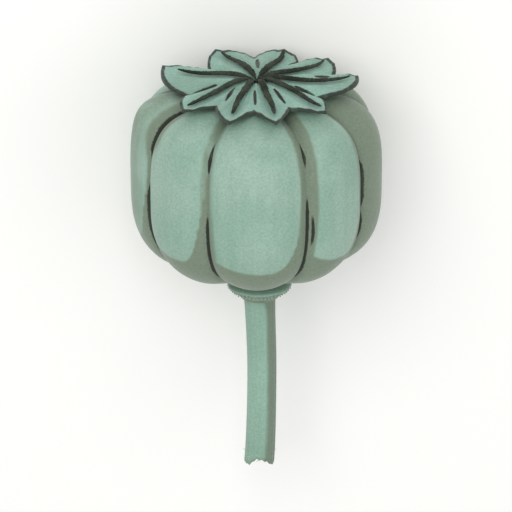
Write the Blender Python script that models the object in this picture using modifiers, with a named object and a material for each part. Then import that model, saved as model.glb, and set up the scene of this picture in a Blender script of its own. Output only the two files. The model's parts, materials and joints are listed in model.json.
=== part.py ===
"""Poppy seed head, cut with a short length of stalk and lying on its side.

Every piece is modelled upright, in the frame of the head's own axis: +Z runs up the stalk to the crown,
azimuths are in degrees from +X, and azimuth 270 faces the viewer of a front view. The whole head is then
laid on its back with the crown towards +Y, where it rests on two small flats of its ribs.
"""

import math
from collections import namedtuple

import bmesh
import bpy
import numpy as np
from mathutils import Vector

# Driving dimensions, in metres unless the name says otherwise
MM = 0.001
JOINT_GAP = 0.3 * MM

CAPSULE_RADIUS = 22.5 * MM
SHOULDER_HEIGHT = 16.7 * MM
SHOULDER_POWER = 3.8
BASE_DEPTH = 18.0 * MM
BASE_POWER = 2.9
NECK_DROP = 3.2 * MM
NECK_SPREAD = 6.2 * MM
NECK_END_DEPTH = 20.2 * MM

GROOVE_AZIMUTHS_DEG = (10, 50, 90, 130, 168, 208, 246, 295, 330)
GROOVE_SHARPNESS = 0.62
GROOVE_DEPTH_AT_BELLY = 0.060
GROOVE_DEPTH_AT_ENDS = 0.115
GROOVE_FADE_AT_AXIS = 0.30
REST_AZIMUTH_DEG = 90
REST_FLAT_DEPTH = 0.2 * MM

CROWN_TOP_HEIGHT = 18.3 * MM
CROWN_MIDDLE_THICKNESS = 1.2 * MM
CROWN_EDGE_THICKNESS = 0.7 * MM
CROWN_KEEL_THICKNESS = 0.5 * MM
CROWN_FOOT_SHARE = 0.45
CROWN_SWELL = 0.7 * MM
CROWN_TIP_CURL = 0.6 * MM
# Each lobe's ray and tip, then the notch after it, going round. Reach is from the axis, and rise is above
# the crown's middle. A fullness of 1 is an even edge from tip to notch, less bulges out, more is drawn in.
Lobe = namedtuple("Lobe", "ray_deg reach_mm rise_mm fullness notch_deg notch_reach_mm notch_rise_mm")
CROWN_LOBES = (
    Lobe(10, 18.2, 0.0, 1.2, 22, 14.8, -1.1),
    Lobe(45, 18.2, -0.2, 1.3, 59, 14.6, -1.0),
    Lobe(74, 18.2, -0.2, 1.4, 92, 14.4, -0.8),
    Lobe(114, 18.2, 0.1, 1.0, 132, 12.6, -0.8),
    Lobe(158, 18.0, 0.4, 0.7, 201, 13.0, -0.9),
    Lobe(225, 18.0, -0.5, 1.2, 237, 12.9, -0.8),
    Lobe(255, 18.2, -0.9, 1.2, 268, 12.9, -0.8),
    Lobe(281, 18.0, -0.9, 1.2, 296, 13.0, -0.8),
    Lobe(312, 18.0, -0.5, 1.1, 331, 12.4, -0.8),
)
LOBE_FULLNESS_BEFORE_RAY = 1.0

RAY_BED_DEPTH = 0.4 * MM
RAY_BED_HALF_WIDTH = 1.1 * MM
RAY_HALF_WIDTH = 0.75 * MM
RAY_HALF_HEIGHT = 0.45 * MM
RAY_START = 0.3 * MM
RAY_END_SHARE = 0.95
RAY_TAPER = 0.35
HUB_RADIUS = 1.3 * MM
HUB_HALF_HEIGHT = 0.5 * MM

RECEPTACLE_RADIUS = 5.87 * MM
RECEPTACLE_RIM_DEPTH = 20.6 * MM
RECEPTACLE_END_DEPTH = 23.3 * MM

STEM_RADIUS = 2.78 * MM
STEM_TOP_DEPTH = 22.4 * MM
STEM_END_DEPTH = 56.1 * MM
STEM_SHIFT = 0.55 * MM
STEM_BOW = 0.45 * MM
STEM_WAIST = 0.04
TORN_NOTCH = 1.5 * MM
TORN_NOTCH_NARROWNESS = 6
TORN_BACK = 0.6 * MM
TORN_BACK_TURN_DEG = 30
TORN_FIBRES = 0.12 * MM
TORN_FIBRE_COUNT = 3
# The break from the stalk's rim in to its pith: share of the radius, and depth of the hollow
TORN_PROFILE = ((0.70, 0.5 * MM), (0.35, 0.9 * MM), (0.0, 1.1 * MM))

# How finely each piece is divided
CAPSULE_STEPS_PER_RIB = 8
CAPSULE_RINGS = 30
CROWN_STEPS_PER_HALF_LOBE = 6
CROWN_RINGS = 14
RAY_SIDES = 10
RAY_RINGS = 12
RECEPTACLE_STEPS = 36
STEM_SIDES = 16
STEM_SPANS = 9

# Colour, roughness and metallic value of each piece
MATERIALS = {
    "capsule": ((0.31, 0.46, 0.38), 0.55, 0.0),
    "stigma_disc": ((0.27, 0.44, 0.36), 0.60, 0.0),
    "stigma_rays": ((0.09, 0.10, 0.08), 0.85, 0.0),
    "receptacle": ((0.28, 0.40, 0.32), 0.60, 0.0),
    "stem": ((0.28, 0.44, 0.35), 0.55, 0.0),
}


def clear_scene():
    """Removes whatever the scene holds."""
    for found in list(bpy.data.objects):
        bpy.data.objects.remove(found)


def material_of(name):
    """The Principled material of a piece."""
    colour, roughness, metallic = MATERIALS[name]
    made = bpy.data.materials.new(name)
    made.use_nodes = True
    shader = made.node_tree.nodes["Principled BSDF"]
    shader.inputs["Base Color"].default_value = (*colour, 1.0)
    shader.inputs["Roughness"].default_value = roughness
    shader.inputs["Metallic"].default_value = metallic
    return made


def add_piece(name, data, collection, axis):
    """An object for one piece, on the head's axis, with its own material."""
    piece = bpy.data.objects.new(name, data)
    data.materials.append(material_of(name))
    collection.objects.link(piece)
    piece.parent = axis
    return piece


def finished_mesh(name, body, sharp_angle_deg=40):
    """The mesh of a bmesh, with its faces out and its round parts smooth."""
    bmesh.ops.recalc_face_normals(body, faces=body.faces)
    mesh = bpy.data.meshes.new(name)
    body.to_mesh(mesh)
    body.free()
    mesh.shade_smooth()
    mesh.set_sharp_from_angle(angle=math.radians(sharp_angle_deg))
    return mesh


def shaped_ball(segments, rings, shape):
    """A ball whose points are moved to shape(fraction of a turn, latitude in radians)."""
    body = bmesh.new()
    bmesh.ops.create_uvsphere(body, u_segments=segments, v_segments=rings, radius=1.0)
    for vert in body.verts:
        turn = round(math.atan2(vert.co.y, vert.co.x) / math.tau * segments) / segments % 1.0
        latitude = math.asin(max(-1.0, min(1.0, vert.co.z)))
        vert.co = shape(turn, latitude)
    return body


def azimuth_through(marks_deg, turn):
    """The azimuth in radians of a share of a turn, where equal shares run from mark to mark."""
    knots = (*marks_deg, marks_deg[0] + 360)
    return math.radians(np.interp(turn * len(marks_deg), range(len(knots)), knots))


def around(radius, azimuth, height):
    """The point at a radius and a height, in the direction of an azimuth."""
    return Vector((radius * math.cos(azimuth), radius * math.sin(azimuth), height))


def groove_at(azimuth):
    """0 on the crest of a rib, 1 in the groove between two."""
    knots = (*GROOVE_AZIMUTHS_DEG, GROOVE_AZIMUTHS_DEG[0] + 360)
    degrees = (math.degrees(azimuth) - knots[0]) % 360 + knots[0]
    across = np.interp(degrees, knots, range(len(knots))) % 1.0
    return 1.0 - math.sin(math.pi * across) ** GROOVE_SHARPNESS


def capsule_point(azimuth, latitude):
    """A point of the capsule's skin: a squared-off globe, drawn in along its grooves, with a neck below."""
    height, power = (SHOULDER_HEIGHT, SHOULDER_POWER) if latitude > 0 else (BASE_DEPTH, BASE_POWER)
    across, along = math.cos(latitude), abs(math.sin(latitude))
    reach = ((across / CAPSULE_RADIUS) ** power + (along / height) ** power) ** (-1 / power)
    depth = GROOVE_DEPTH_AT_BELLY + (GROOVE_DEPTH_AT_ENDS - GROOVE_DEPTH_AT_BELLY) * along**2
    fade = min(1.0, across / GROOVE_FADE_AT_AXIS)
    reach *= 1.0 - depth * groove_at(azimuth) * fade * fade * (3 - 2 * fade)
    radius, level = reach * across, reach * math.sin(latitude)
    if latitude < 0:
        level -= NECK_DROP * math.exp(-((radius / NECK_SPREAD) ** 2))
    return around(radius, azimuth, max(level, -NECK_END_DEPTH))


def flatten_where_it_rests(body):
    """Cuts the ribs off flat, a little inside their furthest reach towards the surface they lie on."""
    down = around(1.0, math.radians(REST_AZIMUTH_DEG), 0.0)
    reach = max(vert.co.dot(down) for vert in body.verts) - REST_FLAT_DEPTH
    cut = bmesh.ops.bisect_plane(
        body,
        geom=[*body.verts, *body.edges, *body.faces],
        plane_co=down * reach,
        plane_no=down,
        clear_outer=True,
    )
    rims = [item for item in cut["geom_cut"] if isinstance(item, bmesh.types.BMEdge)]
    bmesh.ops.holes_fill(body, edges=rims)
    return reach


def make_capsule(collection, axis):
    """The ribbed capsule, and how far its resting flats are from the axis."""
    body = shaped_ball(
        len(GROOVE_AZIMUTHS_DEG) * CAPSULE_STEPS_PER_RIB,
        CAPSULE_RINGS,
        lambda turn, latitude: capsule_point(azimuth_through(GROOVE_AZIMUTHS_DEG, turn), latitude),
    )
    reach = flatten_where_it_rests(body)
    add_piece("capsule", finished_mesh("capsule", body), collection, axis)
    return reach


def crown_marks():
    """Azimuths of the crown's ray tips and notches, in turn."""
    return [azimuth for lobe in CROWN_LOBES for azimuth in (lobe.ray_deg, lobe.notch_deg)]


def crown_edge(azimuth):
    """The crown's reach and rise at an azimuth, and how near a ray that is: 0 at a notch, 1 on a ray."""
    marks = crown_marks()
    knots = (*marks, marks[0] + 360)
    degrees = (math.degrees(azimuth) - knots[0]) % 360 + knots[0]
    place = float(np.interp(degrees, knots, range(len(knots)))) % len(marks)
    index, share = int(place), place % 1.0
    before, after = CROWN_LOBES[index // 2], CROWN_LOBES[(index // 2 + 1) % len(CROWN_LOBES)]
    if index % 2 == 0:
        lobe, near, fullness = before, 1.0 - share, before.fullness
    else:
        lobe, near, fullness = after, share, LOBE_FULLNESS_BEFORE_RAY
    reach = before.notch_reach_mm + (lobe.reach_mm - before.notch_reach_mm) * near**fullness
    rise = before.notch_rise_mm + (lobe.rise_mm - before.notch_rise_mm) * near**1.5
    return reach * MM, rise * MM, near


def crown_face(azimuth, share):
    """Height of the crown's upper face, without the rays' beds, at a share of the way to its edge.

    It swells round a dimpled middle, falls away to the notches and curls up at the tips.
    """
    _, rise, near = crown_edge(azimuth)
    swell = CROWN_SWELL * math.sin(math.pi * math.sqrt(share)) ** 2
    hollow = share**2 * (1.0 - share) * 27 / 4  # 1 at its deepest, two thirds of the way out
    return CROWN_TOP_HEIGHT + swell - CROWN_TIP_CURL * near**2 * hollow + rise * share**1.6


def ray_bed(azimuth, radius):
    """Depth of the shallow, slope-sided bed that each ray lies in."""
    depth = 0.0
    for lobe in CROWN_LOBES:
        offset = azimuth - math.radians(lobe.ray_deg)
        beside = radius * abs(math.sin(offset)) if math.cos(offset) > 0 else radius
        side = (2 * RAY_BED_HALF_WIDTH - beside) / RAY_BED_HALF_WIDTH
        depth = max(depth, RAY_BED_DEPTH * min(1.0, max(0.0, side)))
    return depth


def crown_point(azimuth, latitude):
    """A point of the crown's skin: its upper face above the ball's equator, its underside below."""
    rim = math.pi / CROWN_RINGS
    share = min(1.0, (math.pi / 2 - abs(latitude)) / (math.pi / 2 - rim))
    reach, _, near = crown_edge(azimuth)
    face = crown_face(azimuth, share)
    top = face - ray_bed(azimuth, reach * share)
    under = face - CROWN_EDGE_THICKNESS - CROWN_KEEL_THICKNESS * near**4
    under = min(under, CROWN_TOP_HEIGHT - CROWN_MIDDLE_THICKNESS)
    if share < CROWN_FOOT_SHARE:
        under = max(under, SHOULDER_HEIGHT + JOINT_GAP)
    if abs(latitude) < rim / 2:
        return around(reach + CROWN_EDGE_THICKNESS / 4, azimuth, (top + under) / 2)
    return around(reach * share, azimuth, top if latitude > 0 else under)


def make_crown(collection, axis):
    """The lobed disc on top of the capsule."""
    marks = crown_marks()
    body = shaped_ball(
        len(marks) * CROWN_STEPS_PER_HALF_LOBE,
        CROWN_RINGS,
        lambda turn, latitude: crown_point(azimuth_through(marks, turn), latitude),
    )
    add_piece("stigma_disc", finished_mesh("stigma_disc", body), collection, axis)


def ray_body(lobe):
    """One ray: a low rounded band along its bed, thinning towards the lobe's tip."""
    azimuth, reach = math.radians(lobe.ray_deg), lobe.reach_mm * MM
    sideways = around(1.0, azimuth + math.pi / 2, 0.0)

    def point(turn, latitude):
        along = (1.0 + math.sin(latitude)) / 2
        girth = (1.0 - RAY_TAPER * along) * math.cos(latitude) ** 0.5
        radius = RAY_START + (reach * RAY_END_SHARE - RAY_START) * along
        beside = RAY_HALF_WIDTH * girth * math.cos(math.tau * turn)
        above = RAY_HALF_HEIGHT * (1.0 + girth * math.sin(math.tau * turn))
        bed = crown_face(azimuth, radius / reach) - RAY_BED_DEPTH
        return around(radius, azimuth, bed + JOINT_GAP + above) + sideways * beside

    return shaped_ball(RAY_SIDES, RAY_RINGS, point)


def make_rays(collection, axis):
    """The star of raised rays, joined at a low hub in the middle of the crown."""
    ray_collection = bpy.data.collections.new("rays to join")
    bpy.context.scene.collection.children.link(ray_collection)
    for lobe in CROWN_LOBES:
        ray_collection.objects.link(bpy.data.objects.new("ray", finished_mesh("ray", ray_body(lobe))))
    hub = bmesh.new()
    bmesh.ops.create_uvsphere(hub, u_segments=20, v_segments=10, radius=1.0)
    bmesh.ops.scale(hub, vec=(HUB_RADIUS, HUB_RADIUS, HUB_HALF_HEIGHT), verts=hub.verts)
    lift = Vector((0, 0, CROWN_TOP_HEIGHT - RAY_BED_DEPTH + JOINT_GAP + HUB_HALF_HEIGHT))
    bmesh.ops.translate(hub, vec=lift, verts=hub.verts)
    star = add_piece("stigma_rays", finished_mesh("stigma_rays", hub), collection, axis)

    union = star.modifiers.new("join rays", "BOOLEAN")
    union.operation = "UNION"
    union.solver = "EXACT"
    union.operand_type = "COLLECTION"
    union.collection = ray_collection
    bpy.context.view_layer.update()
    graph = bpy.context.evaluated_depsgraph_get()
    joined = bpy.data.meshes.new_from_object(star.evaluated_get(graph))
    star.modifiers.remove(union)
    star.data = joined
    for ray in list(ray_collection.objects):
        bpy.data.objects.remove(ray)
    bpy.data.collections.remove(ray_collection)


def receptacle_profile():
    """Half section of the receptacle, down its outer side: flat top, rounded rim, then in to the stalk."""
    cup_floor = -(NECK_END_DEPTH + JOINT_GAP)
    socket_roof = -(STEM_TOP_DEPTH - JOINT_GAP)
    socket_radius = STEM_RADIUS + JOINT_GAP
    rim, level = RECEPTACLE_RADIUS, -RECEPTACLE_RIM_DEPTH
    return (
        (0.0, cup_floor),
        (rim * 0.86, cup_floor),
        (rim * 0.95, level + 0.02 * MM),
        (rim * 0.99, level - 0.20 * MM),
        (rim, level - 0.50 * MM),
        (rim * 0.98, level - 0.85 * MM),
        (rim * 0.92, level - 1.20 * MM),
        (rim * 0.83, level - 1.50 * MM),
        (rim * 0.73, level - 1.80 * MM),
        (rim * 0.64, level - 2.15 * MM),
        (rim * 0.60, -RECEPTACLE_END_DEPTH + 0.15 * MM),
        (rim * 0.58, -RECEPTACLE_END_DEPTH),
        (socket_radius, -RECEPTACLE_END_DEPTH),
        (socket_radius, socket_roof),
        (0.0, socket_roof),
    )


def make_receptacle(collection, axis):
    """The swollen ring where petals and stamens sat, turned from its half section."""
    profile = bpy.data.meshes.new("receptacle")
    points = [(radius, 0.0, height) for radius, height in receptacle_profile()]
    profile.from_pydata(points, [(i, i + 1) for i in range(len(points) - 1)], [])
    piece = add_piece("receptacle", profile, collection, axis)
    piece.location.x = STEM_SHIFT
    turn = piece.modifiers.new("turn", "SCREW")
    turn.steps = turn.render_steps = RECEPTACLE_STEPS
    turn.use_merge_vertices = True
    turn.merge_threshold = 0.01 * MM
    turn.use_smooth_shade = True


def torn_edge(azimuth):
    """How far the stalk's torn rim is short of its full length, most of all in a notch at the front."""
    notch = TORN_NOTCH * max(0.0, -math.sin(azimuth)) ** TORN_NOTCH_NARROWNESS
    back = TORN_BACK * max(0.0, math.sin(azimuth + math.radians(TORN_BACK_TURN_DEG))) ** 2
    return notch + back + TORN_FIBRES * (1.0 + math.sin(TORN_FIBRE_COUNT * azimuth))


def stem_rings():
    """Rings of points from the middle of the stalk's upper end to the middle of its torn one."""
    return STEM_SPANS + 1 + len(TORN_PROFILE)


def stem_point(turn, latitude):
    """A point of the stalk's skin: a closed upper end, a slightly bowed tube, and a torn, hollow end."""
    azimuth = math.tau * turn
    ring = round((0.5 - latitude / math.pi) * stem_rings())
    along = min(1.0, max(0.0, (ring - 1) / STEM_SPANS))
    bow = STEM_BOW * math.sin(math.pi * along)
    share, hollow = (0.0 if ring == 0 else 1.0), 0.0
    if ring > STEM_SPANS + 1:
        share, hollow = TORN_PROFILE[ring - STEM_SPANS - 2]
    torn = share * torn_edge(azimuth) + hollow if along == 1.0 else 0.0
    depth = STEM_TOP_DEPTH + (STEM_END_DEPTH - STEM_TOP_DEPTH) * along - torn
    radius = STEM_RADIUS * share * (1.0 - STEM_WAIST * math.sin(math.pi * along))
    return around(radius, azimuth, -depth) + Vector((STEM_SHIFT + bow, 0.5 * bow, 0.0))


def make_stem(collection, axis):
    """The stalk, whose upper end sits in the receptacle's socket and whose lower end is torn."""
    body = shaped_ball(STEM_SIDES, stem_rings(), stem_point)
    add_piece("stem", finished_mesh("stem", body), collection, axis)


def lay_down(axis, reach):
    """Turns the head on its back, its flats on the surface and its box's middle over the origin."""
    axis.rotation_euler = (math.radians(-REST_AZIMUTH_DEG), 0.0, 0.0)
    bpy.context.view_layer.update()
    graph = bpy.context.evaluated_depsgraph_get()
    corners = [
        piece.matrix_world @ vert.co
        for piece in axis.children
        for vert in piece.evaluated_get(graph).data.vertices
    ]
    middle = [(min(c[i] for c in corners) + max(c[i] for c in corners)) / 2 for i in (0, 1)]
    axis.location = (-middle[0], -middle[1], reach)


def main():
    clear_scene()
    collection = bpy.data.collections.new("poppy_seed_head")
    bpy.context.scene.collection.children.link(collection)
    axis = bpy.data.objects.new("head_axis", None)
    collection.objects.link(axis)
    reach = make_capsule(collection, axis)
    make_crown(collection, axis)
    make_rays(collection, axis)
    make_receptacle(collection, axis)
    make_stem(collection, axis)
    lay_down(axis, reach)


main()
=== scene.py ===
"""Looks of the poppy seed head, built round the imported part: skin, crown, velvet rays, collar and stalk.

Every piece is worked out in the head's own frame: +Z runs up the stalk to the crown, and azimuths are in
degrees from +X, where 270 faces someone who looks down on the lying head. HeadAxis lays the pieces down along
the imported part. Lengths are in metres unless a name says otherwise.
"""

import json
import logging
import math
from dataclasses import astuple, dataclass
from enum import Enum

import bpy
import numpy as np
from mathutils import Matrix, Vector

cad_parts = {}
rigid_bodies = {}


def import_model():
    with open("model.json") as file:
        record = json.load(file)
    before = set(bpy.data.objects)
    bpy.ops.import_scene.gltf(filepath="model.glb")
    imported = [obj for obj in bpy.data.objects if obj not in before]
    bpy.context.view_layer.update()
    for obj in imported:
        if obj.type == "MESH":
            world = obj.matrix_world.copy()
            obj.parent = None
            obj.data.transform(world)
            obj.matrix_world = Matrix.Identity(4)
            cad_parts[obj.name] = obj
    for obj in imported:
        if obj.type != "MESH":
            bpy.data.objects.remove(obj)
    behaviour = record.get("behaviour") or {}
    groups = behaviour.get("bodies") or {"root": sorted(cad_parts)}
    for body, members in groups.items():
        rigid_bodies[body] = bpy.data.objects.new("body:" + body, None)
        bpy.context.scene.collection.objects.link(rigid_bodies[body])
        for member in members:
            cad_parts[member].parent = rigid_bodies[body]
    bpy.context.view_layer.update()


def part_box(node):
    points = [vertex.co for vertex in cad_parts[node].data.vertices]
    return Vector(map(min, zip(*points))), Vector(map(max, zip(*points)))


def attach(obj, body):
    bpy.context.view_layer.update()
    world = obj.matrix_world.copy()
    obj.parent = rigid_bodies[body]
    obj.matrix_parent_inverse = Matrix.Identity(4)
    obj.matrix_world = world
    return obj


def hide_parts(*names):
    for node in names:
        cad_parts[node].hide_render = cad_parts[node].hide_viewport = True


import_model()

LOG = logging.getLogger("poppy_seed_head")
MM = 0.001
BODY = "root"
SINK = 0.05 * MM  # how far a piece that grows out of another reaches into it
WELD = 0.002 * MM  # points nearer than this are one
FAR = 1.0  # a distance at which nothing shows
STALK_RADIUS = 2.78 * MM
STALK_SHIFT = 0.55 * MM  # the collar and the stalk are that far to the right of the capsule's axis
COLLAR_END_DEPTH = 23.3 * MM  # below the equator

Colour = tuple[float, float, float, float]
Spot = tuple[float, float, float]


def srgb(red: int, green: int, blue: int) -> Colour:
    """A linear colour from 8-bit sRGB values.

    Args:
        red: 0 to 255.
        green: 0 to 255.
        blue: 0 to 255.

    Returns:
        The linear colour with full alpha.
    """
    linear = []
    for value in (red, green, blue):
        share = value / 255
        linear.append(share / 12.92 if share <= 0.04045 else ((share + 0.055) / 1.055) ** 2.4)
    return (*linear, 1.0)


def smooth(low: float, high: float, value: np.ndarray) -> np.ndarray:
    """0 on low's side, 1 on high's side, and an even S between them. Low may be the larger of the two."""
    share = np.clip((value - low) / (high - low), 0.0, 1.0)
    return share * share * (3 - 2 * share)


class Field:
    """A number that a node gives, with which more can be worked out in the same tree."""

    def __init__(self, tree: bpy.types.NodeTree, socket: bpy.types.NodeSocket) -> None:
        """Keeps the tree and the output socket."""
        self.tree = tree
        self.socket = socket

    def math(self, operation: str, *others: "Field | float", first: "Field | float | None" = None) -> "Field":
        """One Math node on this field.

        Args:
            operation: the Math node's operation.
            *others: its further inputs.
            first: an input that goes before this field.

        Returns:
            The node's result.
        """
        node = self.tree.nodes.new("ShaderNodeMath")
        node.operation = operation
        values = (self, *others) if first is None else (first, self, *others)
        for socket, value in zip(node.inputs, values):
            if isinstance(value, Field):
                self.tree.links.new(value.socket, socket)
            else:
                socket.default_value = value
        return Field(self.tree, node.outputs[0])

    def __add__(self, other: "Field | float") -> "Field":
        """This plus other."""
        return self.math("ADD", other)

    def __sub__(self, other: "Field | float") -> "Field":
        """This less other."""
        return self.math("SUBTRACT", other)

    def __rsub__(self, other: float) -> "Field":
        """A number less this."""
        return self.math("SUBTRACT", first=other)

    def __mul__(self, other: "Field | float") -> "Field":
        """This times other."""
        return self.math("MULTIPLY", other)

    def __truediv__(self, other: "Field | float") -> "Field":
        """This over other."""
        return self.math("DIVIDE", other)

    def __rtruediv__(self, other: float) -> "Field":
        """A number over this."""
        return self.math("DIVIDE", first=other)

    def __pow__(self, other: "Field | float") -> "Field":
        """This to the power of other."""
        return self.math("POWER", other)

    def most(self, other: "Field | float") -> "Field":
        """The larger of this and other."""
        return self.math("MAXIMUM", other)

    def step(self, low: float, high: float, start: float = 0.0, end: float = 1.0) -> "Field":
        """A smooth step of this field.

        Args:
            low: the value at which the step begins.
            high: the value at which it is over. It may be below low.
            start: the result before the step.
            end: the result past it.

        Returns:
            The step's result.
        """
        node = self.tree.nodes.new("ShaderNodeMapRange")
        node.interpolation_type = "SMOOTHSTEP"
        self.tree.links.new(self.socket, node.inputs["Value"])
        for label, value in zip(("From Min", "From Max", "To Min", "To Max"), (low, high, start, end)):
            node.inputs[label].default_value = value
        return Field(self.tree, node.outputs[0])


class Sketch:
    """Adds nodes to one tree and joins them."""

    def __init__(self, tree: bpy.types.NodeTree) -> None:
        """Keeps the tree."""
        self.tree = tree

    def fill(self, node: bpy.types.Node, inputs: dict) -> None:
        """Sets a node's inputs.

        Args:
            node: the node.
            inputs: what goes into its sockets, by name or index: a field, a socket or a plain value.
        """
        for label, value in inputs.items():
            source = value.socket if isinstance(value, Field) else value
            if isinstance(source, bpy.types.NodeSocket):
                self.tree.links.new(source, node.inputs[label])
            else:
                node.inputs[label].default_value = source

    def node(self, kind: str, inputs: dict | None = None, **settings: object) -> bpy.types.Node:
        """A new node.

        Args:
            kind: the node's type name.
            inputs: what goes into its sockets, as in fill.
            **settings: the node's own properties.

        Returns:
            The node.
        """
        made = self.tree.nodes.new(kind)
        for label, value in settings.items():
            setattr(made, label, value)
        self.fill(made, inputs or {})
        return made

    def field(self, node: bpy.types.Node, output: str | int = 0) -> Field:
        """A node's output as a field."""
        return Field(self.tree, node.outputs[output])


class MaterialSketch(Sketch):
    """A new material and the tree of its look."""

    def __init__(self, name: str) -> None:
        """Makes the material.

        Args:
            name: what it is called.
        """
        self.material = bpy.data.materials.new(name)
        self.material.use_nodes = True
        super().__init__(self.material.node_tree)

    def place(self) -> bpy.types.NodeSocket:
        """The place on the piece, in metres."""
        return self.node("ShaderNodeTexCoord").outputs["Object"]

    def noise(self, place: bpy.types.NodeSocket, scale: float, detail: float) -> Field:
        """Noise of 0 to 1 about 0.5."""
        inputs = {"Vector": place, "Scale": scale, "Detail": detail}
        return self.field(self.node("ShaderNodeTexNoise", inputs))

    def mark(self, label: str) -> Field:
        """A number that the mesh keeps on its points."""
        return self.field(self.node("ShaderNodeAttribute", attribute_name=label), "Fac")

    def mix(self, share: Field, first: Colour | bpy.types.NodeSocket, second: Colour) -> bpy.types.NodeSocket:
        """A colour between two."""
        return self.node("ShaderNodeMix", {0: share, 6: first, 7: second}, data_type="RGBA").outputs[2]

    def bump(self, strength: float, distance: float, height: Field) -> bpy.types.NodeSocket:
        """The surface's direction with a fine relief on it."""
        inputs = {"Strength": strength, "Distance": distance, "Height": height}
        return self.node("ShaderNodeBump", inputs).outputs[0]

    def close(self, inputs: dict) -> bpy.types.Material:
        """Sets the shader's inputs and gives the finished material."""
        self.fill(self.tree.nodes["Principled BSDF"], inputs)
        return self.material


class GeometrySketch(Sketch):
    """A Geometry Nodes tree with named sizes, and the mesh that it gives."""

    def __init__(self, name: str, sizes: dict[str, float]) -> None:
        """Makes the tree with an input for each size.

        Args:
            name: the tree's name.
            sizes: the value of each named input. Whole numbers give whole number inputs.
        """
        super().__init__(bpy.data.node_groups.new(name, "GeometryNodeTree"))
        self.sizes = sizes
        face = self.tree.interface
        face.new_socket("Geometry", in_out="INPUT", socket_type="NodeSocketGeometry")
        for label, value in sizes.items():
            kind = "NodeSocketInt" if isinstance(value, int) else "NodeSocketFloat"
            face.new_socket(label, in_out="INPUT", socket_type=kind)
        face.new_socket("Geometry", in_out="OUTPUT", socket_type="NodeSocketGeometry")
        self.entry = self.node("NodeGroupInput")

    def size(self, label: str) -> Field:
        """The input of that name."""
        return self.field(self.entry, label)

    def keep(self, geometry: bpy.types.NodeSocket, label: str, value: Field) -> bpy.types.NodeSocket:
        """Stores a number on each point, for the material.

        Args:
            geometry: what to store it on.
            label: the attribute's name.
            value: the number.

        Returns:
            The geometry with the attribute.
        """
        node = self.node(
            "GeometryNodeStoreNamedAttribute",
            {"Geometry": geometry, "Name": label, "Value": value},
            data_type="FLOAT",
            domain="POINT",
        )
        return node.outputs["Geometry"]

    def soften(self, geometry: bpy.types.NodeSocket) -> bpy.types.NodeSocket:
        """The same faces, shaded smooth."""
        return self.node("GeometryNodeSetShadeSmooth", {0: geometry}).outputs[0]

    def scatter(self, low: Spot, high: Spot) -> bpy.types.NodeSocket:
        """A random vector between two on each point, by the tree's Seed input."""
        inputs = {0: low, 1: high, "Seed": self.size("Seed")}
        return self.node("FunctionNodeRandomValue", inputs, data_type="FLOAT_VECTOR").outputs[0]

    def ring(self, count: Field, radius: Field, centre: Spot, turn: float = 0.0) -> bpy.types.NodeSocket:
        """A circle of points round the lying head's axis.

        Args:
            count: how many points.
            radius: the circle's radius.
            centre: the circle's middle.
            turn: how far it is turned about the axis, in radians.

        Returns:
            The circle.
        """
        circle = self.node("GeometryNodeMeshCircle", {"Vertices": count, "Radius": radius})
        placing = {"Geometry": circle.outputs[0], "Translation": centre, "Rotation": (math.pi / 2, turn, 0.0)}
        return self.node("GeometryNodeTransform", placing).outputs[0]

    def set_out(self, points: bpy.types.NodeSocket, offset: bpy.types.NodeSocket) -> bpy.types.NodeSocket:
        """The points, each moved by its own offset."""
        return self.node("GeometryNodeSetPosition", {"Geometry": points, "Offset": offset}).outputs[0]

    def join(self, *geometries: bpy.types.NodeSocket) -> bpy.types.NodeSocket:
        """Several geometries as one.

        Args:
            *geometries: what to join.

        Returns:
            All of it.
        """
        joined = self.node("GeometryNodeJoinGeometry")
        for geometry in geometries:
            self.tree.links.new(geometry, joined.inputs[0])
        return joined.outputs[0]

    def close(self, geometry: bpy.types.NodeSocket, material: bpy.types.Material) -> None:
        """Ends the tree: instances made real, and one material on the whole.

        Args:
            geometry: the finished shape.
            material: what it is dressed in.
        """
        real = self.node("GeometryNodeRealizeInstances", {"Geometry": geometry})
        dressed = self.node("GeometryNodeSetMaterial", {"Geometry": real.outputs[0], "Material": material})
        self.node("NodeGroupOutput", {"Geometry": dressed.outputs[0]})

    def bake(self, name: str, base: bpy.types.Mesh | None = None) -> bpy.types.Object:
        """Runs the tree once and keeps its result as a plain mesh.

        Args:
            name: the new object's name.
            base: the mesh that the tree starts from, if it needs one.

        Returns:
            The object, with no modifier left on it.
        """
        piece = add_object(name, base or bpy.data.meshes.new(name))
        modifier = piece.modifiers.new("shape", "NODES")
        modifier.node_group = self.tree
        for item in self.tree.interface.items_tree:
            if item.in_out == "INPUT" and item.name in self.sizes:
                modifier[item.identifier] = self.sizes[item.name]
        graph = bpy.context.evaluated_depsgraph_get()
        graph.update()
        evaluated = piece.evaluated_get(graph)
        mesh = bpy.data.meshes.new_from_object(evaluated, preserve_all_data_layers=True, depsgraph=graph)
        piece.modifiers.remove(modifier)
        piece.data = mesh
        mesh.name = name
        return piece


def add_object(name: str, data: bpy.types.ID) -> bpy.types.Object:
    """A new object in the scene, at the origin.

    Args:
        name: its name.
        data: its mesh, light or camera.

    Returns:
        The object.
    """
    made = bpy.data.objects.new(name, data)
    bpy.context.scene.collection.objects.link(made)
    return made


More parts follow.
